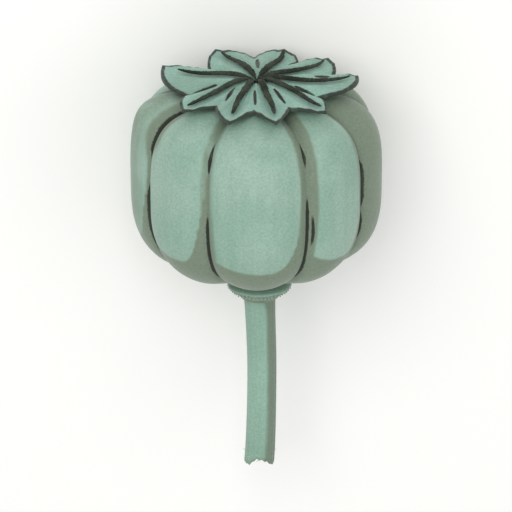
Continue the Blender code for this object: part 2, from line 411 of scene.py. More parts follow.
def sleeve(name: str, points: np.ndarray, marks: dict[str, np.ndarray]) -> bpy.types.Mesh:
    """A closed skin through rings of points, from the middle of one end to the middle of the other.

    Args:
        name: the mesh's name.
        points: rings by points round each ring by 3. The first and last rings are each one point.
        marks: numbers kept on the points, in the same layout.

    Returns:
        The mesh, with its faces outwards where the rings run down and the points anticlockwise from above.
    """
    rings, around = points.shape[:2]
    inner = np.arange((rings - 2) * around).reshape(rings - 2, around) + 1
    last = (rings - 2) * around + 1
    beside = np.roll(inner, -1, axis=1)
    quads = np.stack((inner[:-1], inner[1:], beside[1:], beside[:-1]), axis=-1).reshape(-1, 4)
    faces = [tuple(quad) for quad in quads.tolist()]
    faces += [(0, a, b) for a, b in zip(inner[0].tolist(), beside[0].tolist())]
    faces += [(last, b, a) for a, b in zip(inner[-1].tolist(), beside[-1].tolist())]
    mesh = bpy.data.meshes.new(name)
    mesh.from_pydata(flat(points).tolist(), [], faces)
    for label, values in marks.items():
        give_mark(mesh, label, flat(np.broadcast_to(values, (rings, around))))
    mesh.shade_smooth()
    return mesh


def dressed_sleeve(
    name: str, points: np.ndarray, marks: dict[str, np.ndarray], material: bpy.types.Material
) -> bpy.types.Object:
    """A sleeve with its material on, as an object.

    Args:
        name: the object's name and its mesh's.
        points: as for sleeve.
        marks: as for sleeve.
        material: what it is dressed in.

    Returns:
        The object.
    """
    mesh = sleeve(name, points, marks)
    mesh.materials.append(material)
    return add_object(name, mesh)


def flat(rings: np.ndarray) -> np.ndarray:
    """The values of a sleeve's points in its mesh's order, with one point for each end."""
    inner = rings[1:-1].reshape(-1, *rings.shape[2:])
    return np.concatenate((rings[0, :1], inner, rings[-1, :1]))


def give_mark(mesh: bpy.types.Mesh, label: str, values: np.ndarray) -> None:
    """Keeps a number on each point, for the material."""
    mesh.attributes.new(label, "FLOAT", "POINT").data.foreach_set("value", values.astype(np.float32))


def take_mark(mesh: bpy.types.Mesh, label: str) -> np.ndarray:
    """Reads a number from each point and takes it off the mesh.

    Args:
        mesh: a baked mesh.
        label: the attribute's name.

    Returns:
        The number on each point.
    """
    kept = mesh.attributes[label]
    values = np.zeros(len(mesh.vertices), np.float32)
    kept.data.foreach_get("value", values)
    mesh.attributes.remove(kept)
    return values


def union(name: str, meshes: list[bpy.types.Mesh]) -> bpy.types.Mesh:
    """Overlapping closed meshes as one skin.

    Args:
        name: the new mesh's name.
        meshes: what to join. The first is the one that the others are added to.

    Returns:
        The joined mesh.
    """
    group = bpy.data.collections.new(name)
    bpy.context.scene.collection.children.link(group)
    for mesh in meshes[1:]:
        group.objects.link(bpy.data.objects.new(name, mesh))
    base = add_object(name, meshes[0])
    modifier = base.modifiers.new("join", "BOOLEAN")
    modifier.operation = "UNION"
    modifier.solver = "EXACT"
    modifier.operand_type = "COLLECTION"
    modifier.collection = group
    graph = bpy.context.evaluated_depsgraph_get()
    graph.update()
    joined = bpy.data.meshes.new_from_object(base.evaluated_get(graph))
    for spare in [base, *group.objects]:
        bpy.data.objects.remove(spare)
    bpy.data.collections.remove(group)
    return joined


def fit_out(piece: bpy.types.Object, slot: str, node: str | None = None) -> None:
    """Puts a finished piece on the part and reports it.

    Args:
        piece: the finished object.
        slot: the record's material slot that it belongs to.
        node: the CAD node that it stands for, if any.
    """
    if node:
        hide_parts(node)
    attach(piece, BODY)
    LOG.info("%s: %d faces, slot %s", piece.name, len(piece.data.polygons), slot)


def round_axis(
    radius: np.ndarray,
    azimuth: np.ndarray,
    height: np.ndarray,
    x: float | np.ndarray = 0.0,
    y: float | np.ndarray = 0.0,
) -> np.ndarray:
    """Points of the upright head.

    Args:
        radius: distance from the axis.
        azimuth: direction from the axis, in radians.
        height: over the equator.
        x: how far the axis is shifted to the right there.
        y: how far it is shifted to the back.

    Returns:
        The points, in the shape that all of these have together.
    """
    spots = np.broadcast_arrays(x + radius * np.cos(azimuth), y + radius * np.sin(azimuth), height)
    return np.stack(spots, axis=-1)


@dataclass(frozen=True)
class Wave:
    """A sine by which a shape is uneven: its size, how fast it turns with the place, and where it starts."""

    size: float
    rate: float
    start: float = 0.0

    def at(self, place: np.ndarray, starts: int = 1) -> np.ndarray:
        """The wave at a place, with its start counted that many times."""
        return self.size * np.sin(place * self.rate + self.start * starts)


@dataclass(frozen=True)
class HeadAxis:
    """Where the lying head's axis is: a point of the frame for its origin at the capsule's equator."""

    x: float
    equator_y: float
    z: float

    @classmethod
    def from_part(cls) -> "HeadAxis":
        """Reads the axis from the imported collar.

        Returns:
            The axis.
        """
        low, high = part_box("receptacle")
        middle = (low + high) / 2
        return cls(middle.x - STALK_SHIFT, low.y + COLLAR_END_DEPTH, middle.z)

    def spot(self, depth: float, shift: float) -> Spot:
        """A place below the equator and to the right of the axis, on the lying head."""
        return (self.x + shift, self.equator_y - depth, self.z)

    def lay(self, points: np.ndarray) -> np.ndarray:
        """Points of the upright head, laid down on the surface."""
        x, y, z = points[..., 0], points[..., 1], points[..., 2]
        return np.stack((x + self.x, z + self.equator_y, np.maximum(self.z - y, 0.0)), axis=-1)


class Skin(Enum):
    """The kinds of living skin on the head."""

    CAPSULE = "capsule_bloom"
    CROWN = "crown_leather"
    COLLAR = "collar_skin"
    STALK = "stalk_skin"


@dataclass(frozen=True)
class SkinFinish:
    """Sage green skin with a waxy bloom, brown grey painted shade, and dark lines where parts meet.

    The mesh says where: shade is 1 where the skin is brown grey, which is mostly painted shade in the valleys
    and creases, on the lower and right sides and under the crown and collar; line_mm is the distance to the
    nearest dark line, line_mark is how dark that line is there, and pale is 1 on torn pith.
    """

    skin: Skin
    light: Colour
    middle: Colour
    shade: Colour
    line: Colour = srgb(44, 48, 40)
    pith: Colour = srgb(206, 206, 178)
    line_half_width_mm: float = 0.30
    line_softness_mm: float = 0.12
    line_core_mm: float = 0.02
    line_wander_mm: float = 0.16
    line_gap_from: float = 0.30
    line_gap_to: float = 0.45
    line_gap_strength: float = 0.85
    patch_scale: float = 95.0
    patch_detail: float = 4.0
    patch_share: float = 0.6
    streak_scale: float = 420.0
    streak_detail: float = 3.0
    streak_stretch: float = 0.09
    grain_scale: float = 2400.0
    grain_detail: float = 5.0
    grain_depth: float = 0.30
    grain_relief_share: float = 0.6
    tone_from: float = 0.36
    tone_to: float = 0.64
    streak_mottle: float = 0.6
    patch_mottle: float = 0.8
    grain_mottle: float = 1.1
    shade_from: float = 0.10
    shade_to: float = 0.88
    roughness: float = 0.58
    patch_roughness: float = 0.16
    line_roughness: float = 0.2
    specular: float = 0.28
    sheen: float = 0.22
    sheen_roughness: float = 0.45
    sheen_tint: Colour = srgb(225, 236, 228)
    bump_strength: float = 0.5
    bump_distance: float = 0.05 * MM

    def material(self) -> bpy.types.Material:
        """The finish as a material.

        Returns:
            A Principled material that reads Object coordinates and the mesh's own marks.
        """
        sketch = MaterialSketch(self.skin.value)
        place = sketch.place()
        patches = sketch.noise(place, self.patch_scale, self.patch_detail)
        along = sketch.node("ShaderNodeMapping", {"Vector": place, "Scale": (1.0, self.streak_stretch, 1.0)})
        streaks = sketch.noise(along.outputs[0], self.streak_scale, self.streak_detail)
        grain = sketch.noise(place, self.grain_scale, self.grain_detail)

        tone = patches * self.patch_share + streaks * (1 - self.patch_share)
        colour = sketch.mix(tone.step(self.tone_from, self.tone_to), self.light, self.middle)
        shade = sketch.mark("shade")
        mottle = (streaks - 0.5) * self.streak_mottle + (patches - 0.5) * self.patch_mottle
        mottle = mottle + (grain - 0.5) * self.grain_mottle
        mottled_shade = shade + shade * (1.0 - shade) * 4.0 * mottle  # the painted shade, mottled only where it begins
        colour = sketch.mix(mottled_shade.step(self.shade_from, self.shade_to), colour, self.shade)
        colour = sketch.mix(sketch.mark("pale"), colour, self.pith)
        brightness = (grain - 0.5) * (2 * self.grain_depth) + 1.0
        speckle = sketch.node("ShaderNodeHueSaturation", {"Color": colour, "Value": brightness})
        inked = self._line(sketch, streaks, grain)
        colour = sketch.mix(inked, speckle.outputs[0], self.line)

        relief = grain * self.grain_relief_share + streaks * (1 - self.grain_relief_share)
        rough = (patches - 0.5) * self.patch_roughness + inked * self.line_roughness + self.roughness
        return sketch.close(
            {
                "Base Color": colour,
                "Normal": sketch.bump(self.bump_strength, self.bump_distance, relief),
                "Roughness": rough,
                "Sheen Weight": self.sheen,
                "Sheen Roughness": self.sheen_roughness,
                "Sheen Tint": self.sheen_tint,
                "Specular IOR Level": self.specular,
            }
        )

    def _line(self, sketch: MaterialSketch, streaks: Field, grain: Field) -> Field:
        """How dark the skin is along its lines.

        Args:
            sketch: the material's tree.
            streaks: noise drawn out along the head.
            grain: fine noise.

        Returns:
            0 away from the lines, up to 1 on them, with an uneven edge and a few weaker places.
        """
        edge = sketch.mark("line_mm") + (streaks - 0.5) * (2 * self.line_wander_mm)
        edge = edge + (grain - 0.5) * self.line_wander_mm
        outside = self.line_half_width_mm + self.line_softness_mm
        inked = edge.step(outside, self.line_half_width_mm - self.line_core_mm)
        gaps = streaks.step(self.line_gap_from, self.line_gap_to, self.line_gap_strength, 1.0)
        return inked * sketch.mark("line_mark") * gaps


CAPSULE_SKIN = SkinFinish(Skin.CAPSULE, srgb(148, 176, 161), srgb(134, 166, 150), srgb(116, 131, 113))
CROWN_SKIN = SkinFinish(Skin.CROWN, srgb(138, 177, 163), srgb(124, 160, 146), srgb(112, 124, 106))
COLLAR_SKIN = SkinFinish(Skin.COLLAR, srgb(142, 172, 156), srgb(130, 160, 142), srgb(106, 114, 94))
STALK_SKIN = SkinFinish(Skin.STALK, srgb(141, 174, 157), srgb(132, 164, 147), srgb(112, 128, 112))


@dataclass(frozen=True)
class VelvetFinish:
    """Dark olive grey velvet of the rays, paler and dustier where it has dried."""

    dark: Colour = srgb(40, 46, 39)
    dusty: Colour = srgb(68, 76, 66)
    patch_scale: float = 260.0
    patch_detail: float = 4.0
    patch_share: float = 0.55
    grain_scale: float = 2600.0
    grain_detail: float = 3.0
    dust_from: float = 0.38
    dust_to: float = 0.66
    roughness: float = 0.9
    specular: float = 0.12
    sheen: float = 0.2
    sheen_roughness: float = 0.35
    sheen_tint: Colour = srgb(190, 190, 170)
    bump_strength: float = 0.6
    bump_distance: float = 0.06 * MM

    def material(self) -> bpy.types.Material:
        """The finish as a material.

        Returns:
            A Principled material that reads Object coordinates.
        """
        sketch = MaterialSketch("ray_velvet")
        place = sketch.place()
        patches = sketch.noise(place, self.patch_scale, self.patch_detail)
        grain = sketch.noise(place, self.grain_scale, self.grain_detail)
        dust = patches * self.patch_share + grain * (1 - self.patch_share)
        return sketch.close(
            {
                "Base Color": sketch.mix(dust.step(self.dust_from, self.dust_to), self.dark, self.dusty),
                "Normal": sketch.bump(self.bump_strength, self.bump_distance, grain),
                "Roughness": self.roughness,
                "Specular IOR Level": self.specular,
                "Sheen Weight": self.sheen,
                "Sheen Roughness": self.sheen_roughness,
                "Sheen Tint": self.sheen_tint,
            }
        )


@dataclass(frozen=True)
class SeamMark:
    """A stretch of a seam that shows dark, between two levels in mm, and its breadth to each side of it."""

    groove: int
    low: float
    high: float
    strength: float
    before: float = 1.0
    after: float = 1.0


@dataclass(frozen=True)
class SideCrease:
    """A dark crease beside a seam. Its place counts ribs from the first seam, and levels are in mm."""

    place: float
    low: float
    high: float


@dataclass(frozen=True)
class SeamShade:
    """How far the brown grey shade reaches to both sides of a seam, in millimetres, and how strong it is.

    The base widths hold at the level fade_from and below, the top widths at the level fade_to and above.
    """

    before_base: float = 0.8
    before_top: float = 0.8
    after_base: float = 1.0
    after_top: float = 2.0
    strength: float = 0.85
    fade_from: float = -7.0
    fade_to: float = 3.0


@dataclass(frozen=True)
class Flank:
    """A side of the globe painted brown grey as shade.

    It fades in between two cosines of the angle from its middle, and between two levels in millimetres.
    """

    azimuth_deg: float
    cosine_from: float
    cosine_to: float
    strength: float
    fade_from: float = -40.0
    fade_to: float = -30.0

    def shade(self, azimuth: np.ndarray, level: np.ndarray) -> np.ndarray:
        """How much painted shade there is there.

        Args:
            azimuth: in radians.
            level: height over the equator, in millimetres.

        Returns:
            0 for the sage green, 1 for the brown grey painted shade.
        """
        cosine = np.cos(azimuth - math.radians(self.azimuth_deg))
        faded = smooth(self.fade_from, self.fade_to, level)
        return self.strength * smooth(self.cosine_from, self.cosine_to, cosine) * faded


@dataclass(frozen=True)
class Bulge:
    """A place where the globe is fuller than its rule by that share, or leaner if it is negative."""

    azimuth_deg: float
    latitude_deg: float
    half_width_deg: float
    half_height_deg: float
    share: float


@dataclass
class Capsule:
    """The ribbed globe: a squared-off ball that follows one rule, drawn in along the seams of its ribs."""

    axis: HeadAxis
    radius: float = 22.5 * MM
    shoulder_height: float = 16.7 * MM
    shoulder_power: float = 3.8
    base_depth: float = 18.0 * MM
    base_power: float = 2.9
    neck_drop: float = 3.2 * MM
    neck_spread: float = 6.2 * MM
    neck_end_depth: float = 20.2 * MM
    groove_deg: tuple[float, ...] = (10, 50, 90, 130, 168, 208, 246, 295, 330)
    groove_sharpness: float = 0.62
    groove_depth_belly: float = 0.060
    groove_depth_ends: float = 0.115
    groove_fade: float = 0.30
    crease_depth: float = 0.30 * MM
    crease_half_width: float = 0.55 * MM
    skin_relief: float = 0.16 * MM
    relief_scale: float = 190.0
    relief_detail: float = 3.0
    relief_roughness: float = 0.45
    # one per rib, the upper edge of the painted shade band round the base, in mm
    shade_band_tops_mm: tuple[float, ...] = (-10.0, -10.4, -9.8, -10.2, -9.2, -9.6, -10.45, -9.3, -9.8)
    band_rise_before: float = 2.4
    band_rise_after: float = 17.0
    band_fade_mm: float = 0.6
    strip_full_share: float = 0.7
    strip_end_share: float = 1.4
    stroke_fade_mm: float = 0.5
    stroke_taper_mm: float = 2.5
    stroke_end_breadth: float = 0.4
    steps_per_rib: int = 30
    rings: int = 150

    BULGES = (
        Bulge(186, 36, 20, 12, 0.05),
        Bulge(335, -42, 26, 14, -0.03),
    )
    # painted shade: the right flank, the left edge and the underside
    FLANKS = (
        Flank(20, 0.50, 0.70, 1.0),
        Flank(180, 0.86, 0.985, 0.5, -13.0, -7.0),
        Flank(90, 0.55, 0.95, 0.6),
    )
    SEAMS = (
        SeamMark(5, 7.3, 16.0, 1.0, before=1.9),
        SeamMark(5, -12.5, 2.3, 1.0, before=1.9),
        SeamMark(6, 7.6, 12.0, 1.0),
        SeamMark(6, -14.5, -0.3, 1.0),
        SeamMark(7, 8.9, 12.0, 1.0),
        SeamMark(7, -15.0, 3.0, 1.0),
        SeamMark(8, -1.8, 7.2, 1.0, after=1.9),
        SeamMark(8, -9.0, -2.4, 1.0, after=1.6),
        SeamMark(0, -13.0, 7.0, 0.9),
        SeamMark(1, -12.0, 1.0, 0.9),
        SeamMark(1, 5.0, 13.0, 0.8),
        SeamMark(2, -15.0, 8.0, 0.9),
        SeamMark(3, -9.0, 11.0, 0.9),
        SeamMark(4, -13.0, -2.0, 1.0),
        SeamMark(4, 3.0, 13.0, 1.0),
    )
    SIDE_CREASES = (
        SideCrease(7.0667, -5.2, -0.3),
        SideCrease(2.9, -2.0, 3.5),
    )
    SEAM_SHADES = (
        SeamShade(),
        SeamShade(),
        SeamShade(after_top=1.6),
        SeamShade(),
        SeamShade(before_top=1.4),
        SeamShade(0.9, 2.4, 0.5, 2.6, 0.8, 6.5, 11.5),
        SeamShade(0.5, 1.2, 1.3, 0.9, 0.55),
        SeamShade(1.5, 1.3, 1.5, 1.9, 1.0),
        SeamShade(1.0, 1.8, 2.0, 2.0, 1.0),
    )

    def build(self, finish: SkinFinish) -> bpy.types.Object:
        """Makes the capsule and puts it in place.

        Args:
            finish: its skin.

        Returns:
            The finished piece.
        """
        piece = self._tree(finish.material()).bake("capsule_skin")
        self._mark_skin(piece.data)
        fit_out(piece, "capsule_skin", "capsule")
        return piece

    def _sizes(self) -> dict[str, float]:
        """The tree's named inputs.

        Returns:
            Each input's value by its name.
        """
        return {
            "Points Round": len(self.groove_deg) * self.steps_per_rib + 1,
            "Points Along": self.rings + 1,
            "Ribs": len(self.groove_deg),
            "Radius": self.radius,
            "Shoulder Height": self.shoulder_height,
            "Shoulder Power": self.shoulder_power,
            "Base Depth": self.base_depth,
            "Base Power": self.base_power,
            "Neck Drop": self.neck_drop,
            "Neck Spread": self.neck_spread,
            "Neck End": -self.neck_end_depth,
            "Groove Sharpness": self.groove_sharpness,
            "Groove Depth Belly": self.groove_depth_belly,
            "Groove Depth Ends": self.groove_depth_ends,
            "Crease Depth": self.crease_depth,
            "Crease Half Width": self.crease_half_width,
            "Skin Relief": self.skin_relief,
            "Relief Scale": self.relief_scale,
            "Relief Detail": self.relief_detail,
            "Relief Roughness": self.relief_roughness,
            "Axis X": self.axis.x,
            "Equator Y": self.axis.equator_y,
            "Axis Z": self.axis.z,
        }

    def _azimuth(self, sketch: GeometrySketch, turn: Field) -> Field:
        """The azimuth of a share of a turn, where equal shares run from groove to groove.

        Args:
            sketch: the tree.
            turn: from 0 to 1 round the globe, from the first groove.

        Returns:
            The azimuth in radians.
        """
        node = sketch.node("ShaderNodeFloatCurve", {"Value": turn})
        curve = node.mapping.curves[0]
        first, ribs = self.groove_deg[0], len(self.groove_deg)
        knots = [(index / ribs, (deg - first) / 360) for index, deg in enumerate(self.groove_deg)]
        curve.points[0].location = knots[0]
        curve.points[1].location = (1.0, 1.0)
        for knot in knots[1:]:
            curve.points.new(*knot)
        for point in curve.points:
            point.handle_type = "VECTOR"
        node.mapping.update()
        return sketch.field(node) * math.tau + math.radians(first)

    def _tree(self, material: bpy.types.Material) -> GeometrySketch:
        """The rule as a Geometry Nodes tree.

        Args:
            material: the skin.

        Returns:
            The tree, ready to bake.
        """
        sketch = GeometrySketch("capsule rule", self._sizes())
        size = sketch.size
        grid = sketch.node(
            "GeometryNodeMeshGrid",
            {
                "Size X": 1.0,
                "Size Y": 1.0,
                "Vertices X": size("Points Round"),
                "Vertices Y": size("Points Along"),
            },
        )
        spot = sketch.node("GeometryNodeInputPosition")
        parts = sketch.node("ShaderNodeSeparateXYZ", {0: spot.outputs[0]})
        turn = sketch.field(parts, "X") + 0.5
        latitude = sketch.field(parts, "Y") * math.pi
        azimuth = self._azimuth(sketch, turn)
        across_rib = (turn * size("Ribs")).math("FRACT")
        groove = 1.0 - (across_rib * math.pi).math("SINE").most(0.0) ** size("Groove Sharpness")

        upper = latitude.math("GREATER_THAN", 0.0)
        height = size("Base Depth") + (size("Shoulder Height") - size("Base Depth")) * upper
        power = size("Base Power") + (size("Shoulder Power") - size("Base Power")) * upper
        across = latitude.math("COSINE").most(0.0)
        along = latitude.math("SINE").math("ABSOLUTE")
        reach = ((across / size("Radius")) ** power + (along / height) ** power) ** (-1.0 / power)
        for bulge in self.BULGES:
            aside = (azimuth - math.radians(bulge.azimuth_deg)) / math.radians(bulge.half_width_deg)
            above = (latitude - math.radians(bulge.latitude_deg)) / math.radians(bulge.half_height_deg)
            reach = reach * (((aside**2.0 + above**2.0) * -1.0).math("EXPONENT") * bulge.share + 1.0)
        depth_gain = size("Groove Depth Ends") - size("Groove Depth Belly")
        depth = size("Groove Depth Belly") + depth_gain * along * along
        fade = across.step(0.0, self.groove_fade)
        reach = reach * (1.0 - depth * groove * fade)

        rib_angle = math.tau / len(self.groove_deg)
        seam = reach * across * across_rib.math("PINGPONG", 0.5) * rib_angle
        crease = ((seam / size("Crease Half Width")) ** 2.0 * -1.0).math("EXPONENT")
        place = sketch.node(
            "ShaderNodeCombineXYZ",
            {
                0: reach * across * azimuth.math("COSINE"),
                1: reach * across * azimuth.math("SINE"),
                2: reach * latitude.math("SINE"),
            },
        )
        noise = sketch.node(
            "ShaderNodeTexNoise",
            {
                "Vector": place.outputs[0],
                "Scale": size("Relief Scale"),
                "Detail": size("Relief Detail"),
                "Roughness": size("Relief Roughness"),
            },
        )
        relief = sketch.field(noise, "Fac") * size("Skin Relief")
        reach = reach - (crease * size("Crease Depth") + relief) * fade

        radius = reach * across
        level = reach * latitude.math("SINE")
        neck = ((radius / size("Neck Spread")) ** 2.0 * -1.0).math("EXPONENT") * size("Neck Drop")
        level = (level - neck * latitude.math("LESS_THAN", 0.0)).most(size("Neck End"))
        laid = sketch.node(
            "ShaderNodeCombineXYZ",
            {
                0: radius * azimuth.math("COSINE") + size("Axis X"),
                1: level + size("Equator Y"),
                2: (size("Axis Z") - radius * azimuth.math("SINE")).most(0.0),
            },
        )
        geometry = grid.outputs["Mesh"]
        for label, value in (
            ("azimuth", azimuth),
            ("rib_place", turn * size("Ribs")),
            ("level_mm", level / MM),
            ("radius_mm", radius / MM),
            ("seam_mm", seam / MM),
        ):
            geometry = sketch.keep(geometry, label, value)
        moved = sketch.node("GeometryNodeSetPosition", {"Geometry": geometry, "Position": laid.outputs[0]})
        merged = sketch.node("GeometryNodeMergeByDistance", {"Geometry": moved.outputs[0], "Distance": WELD})
        sketch.close(sketch.soften(merged.outputs[0]), material)
        return sketch

    def _mark_skin(self, mesh: bpy.types.Mesh) -> None:
        """Turns what the tree noted on each point into the finish's marks.

        Args:
            mesh: the baked capsule.
        """
        azimuth, place, level, radius, seam = (
            take_mark(mesh, label) for label in ("azimuth", "rib_place", "level_mm", "radius_mm", "seam_mm")
        )
        line, line_mark = self._lines(place, level, radius, seam)
        give_mark(mesh, "line_mm", line)
        give_mark(mesh, "line_mark", line_mark)
        # painted shade: the strips in the valleys, the band round the base and the flanks
        strips = self._strips(place, level, seam)
        give_mark(mesh, "shade", np.maximum(strips, self._flanks(azimuth, place, level)))

    def _lines(
        self, place: np.ndarray, level: np.ndarray, radius: np.ndarray, seam: np.ndarray
    ) -> tuple[np.ndarray, np.ndarray]:
        """The dark seams and creases.

        Args:
            place: ribs counted from the first seam.
            level: height over the equator.
            radius: distance from the axis.
            seam: distance to the nearest seam.

        Returns:
            Distance to the nearest line, and how dark that line is there.
        """
        nearest = np.round(place).astype(int) % len(self.groove_deg)
        after = place >= np.round(place)
        distance = seam
        mark = np.zeros(len(place))
        for shown in self.SEAMS:
            present, breadth = self._stroke(shown.low, shown.high, level)
            here = (nearest == shown.groove) & (present > 0)
            breadth = breadth * np.where(after, shown.after, shown.before)
            distance = np.where(here, seam / breadth, distance)
            mark = np.where(here, present * shown.strength, mark)
        rib_angle = math.tau / len(self.groove_deg)
        for crease in self.SIDE_CREASES:
            present, breadth = self._stroke(crease.low, crease.high, level)
            beside = np.abs(place - crease.place) * radius * rib_angle / breadth
            nearer = (beside < distance) & (present > 0)
            distance = np.where(nearer, beside, distance)
            mark = np.where(nearer, present, mark)
        return distance, mark

    def _stroke(self, low: float, high: float, level: np.ndarray) -> tuple[np.ndarray, np.ndarray]:
        """A line between two levels.

        Args:
            low: its lower end, in millimetres.
            high: its upper end.
            level: where it is wanted.

        Returns:
            How much of the line there is, and its breadth, which narrows towards both ends.
        """
        from_end = np.minimum(level - low, high - level)
        present = smooth(-self.stroke_fade_mm, self.stroke_fade_mm, from_end)
        full = smooth(-self.stroke_fade_mm, self.stroke_taper_mm, from_end)
        return present, self.stroke_end_breadth + (1 - self.stroke_end_breadth) * full

    def _strips(self, place: np.ndarray, level: np.ndarray, seam: np.ndarray) -> np.ndarray:
        """How much painted shade there is in the valleys beside the seams.

        Args:
            place: ribs counted from the first seam.
            level: height over the equator.
            seam: distance to the nearest seam.

        Returns:
            0 for the sage green, 1 for the brown grey painted shade.
        """
        table = np.array([astuple(shade) for shade in self.SEAM_SHADES])
        before_base, before_top, after_base, after_top, strength, fade_from, fade_to = table[
            np.round(place).astype(int) % len(table)
        ].T
        after = place >= np.round(place)
        base = np.where(after, after_base, before_base)
        top = np.where(after, after_top, before_top)
        width = base + (top - base) * smooth(fade_from, fade_to, level)
        return strength * smooth(self.strip_end_share, self.strip_full_share, seam / width)

    def _flanks(self, azimuth: np.ndarray, place: np.ndarray, level: np.ndarray) -> np.ndarray:
        """How much painted shade there is on the flanks, and round the base below an arch on each rib.

        Args:
            azimuth: in radians.
            place: ribs counted from the first seam.
            level: height over the equator.

        Returns:
            0 for the sage green, 1 for the brown grey painted shade.
        """
        # painted shade round the base of each rib, under an arch that rises towards its seams
        side = 2 * (place % 1.0) - 1
        rise = np.where(side > 0, self.band_rise_after * side**4, self.band_rise_before * side**2)
        shade_band_top = np.array(self.shade_band_tops_mm)[place.astype(int) % len(self.shade_band_tops_mm)]
        base = smooth(self.band_fade_mm, -self.band_fade_mm, level - rise - shade_band_top)
        return np.maximum.reduce((base, *(flank.shade(azimuth, level) for flank in self.FLANKS)))


@dataclass(frozen=True)
class Lobe:
    """One lobe of the crown, from its tip to the notch after it. Reach and rise are in millimetres.

    Fullness shapes the edge from the tip to that notch, fullness_before the edge on the tip's other side, and
    roundness is how blunt the tip is. The ray runs to the tip from swing_deg beside it at the middle.
    """

    tip_deg: float
    reach: float
    rise: float
    fullness: float
    notch_deg: float
    notch_reach: float
    notch_rise: float
    swing_deg: float
    fullness_before: float = 1.0
    roundness: float = 0.25

    def ray_azimuth(self, radius: np.ndarray) -> np.ndarray:
        """The direction in which the ray is, in radians, at a distance from the axis in metres."""
        return np.radians(self.tip_deg + self.swing_deg * (1 - radius / (self.reach * MM)))


CROWN_LOBES = (
    Lobe(10, 18.2, 0.0, 0.9, 22, 14.8, -1.1, -30.0, 0.72, 1.0),
    Lobe(45, 18.2, -0.2, 1.3, 59, 14.6, -1.0, -26.0, 1.0, 0.4),
    Lobe(74, 18.2, -0.2, 1.4, 92, 14.4, -0.8, -12.0, 1.0, 0.6),
    Lobe(114, 18.2, 0.1, 1.0, 132, 12.6, -1.3, -6.0),
    Lobe(158, 18.0, 0.6, 0.7, 201, 13.0, -0.9, 14.0, 1.5, 0.0),
    Lobe(225, 18.0, -0.5, 1.2, 237, 12.9, -0.8, -11.0),
    Lobe(255, 18.2, -0.9, 1.2, 268, 12.9, -0.8, -6.0),
    Lobe(281, 18.0, -0.9, 1.2, 296, 13.0, -0.8, 6.0),
    Lobe(312, 18.0, -0.5, 1.1, 331, 12.4, -0.8, 12.0),
)


@dataclass(frozen=True)
class Crease:
    """A short straight crease in the crown's skin. Its ends are at distances from the axis in millimetres."""

    start_deg: float
    start_mm: float
    end_deg: float
    end_mm: float
    width: float = 1.0

    def ends(self) -> np.ndarray:
        """Both ends across the axis.

        Returns:
            The two points in metres, one in each row.
        """
        azimuth = np.radians([self.start_deg, self.end_deg])
        reach = np.array([self.start_mm, self.end_mm]) * MM
        return np.stack((reach * np.cos(azimuth), reach * np.sin(azimuth)), axis=-1)


CROWN_CREASES = (
    Crease(12.5, 10.9, 12.5, 12.8, 2.6),
    Crease(58.0, 9.2, 59.0, 14.2, 1.1),
    Crease(87.0, 5.2, 89.5, 12.2, 1.4),
    Crease(134.0, 8.9, 133.5, 11.6, 1.4),
    Crease(200.0, 7.7, 203.5, 12.4, 2.4),
    Crease(227.0, 5.6, 239.5, 10.6, 1.1),
    Crease(267.0, 5.8, 269.0, 10.6, 1.0),
    Crease(301.0, 6.0, 297.0, 11.0, 1.0),
    Crease(335.0, 7.6, 331.5, 11.4, 1.4),
)


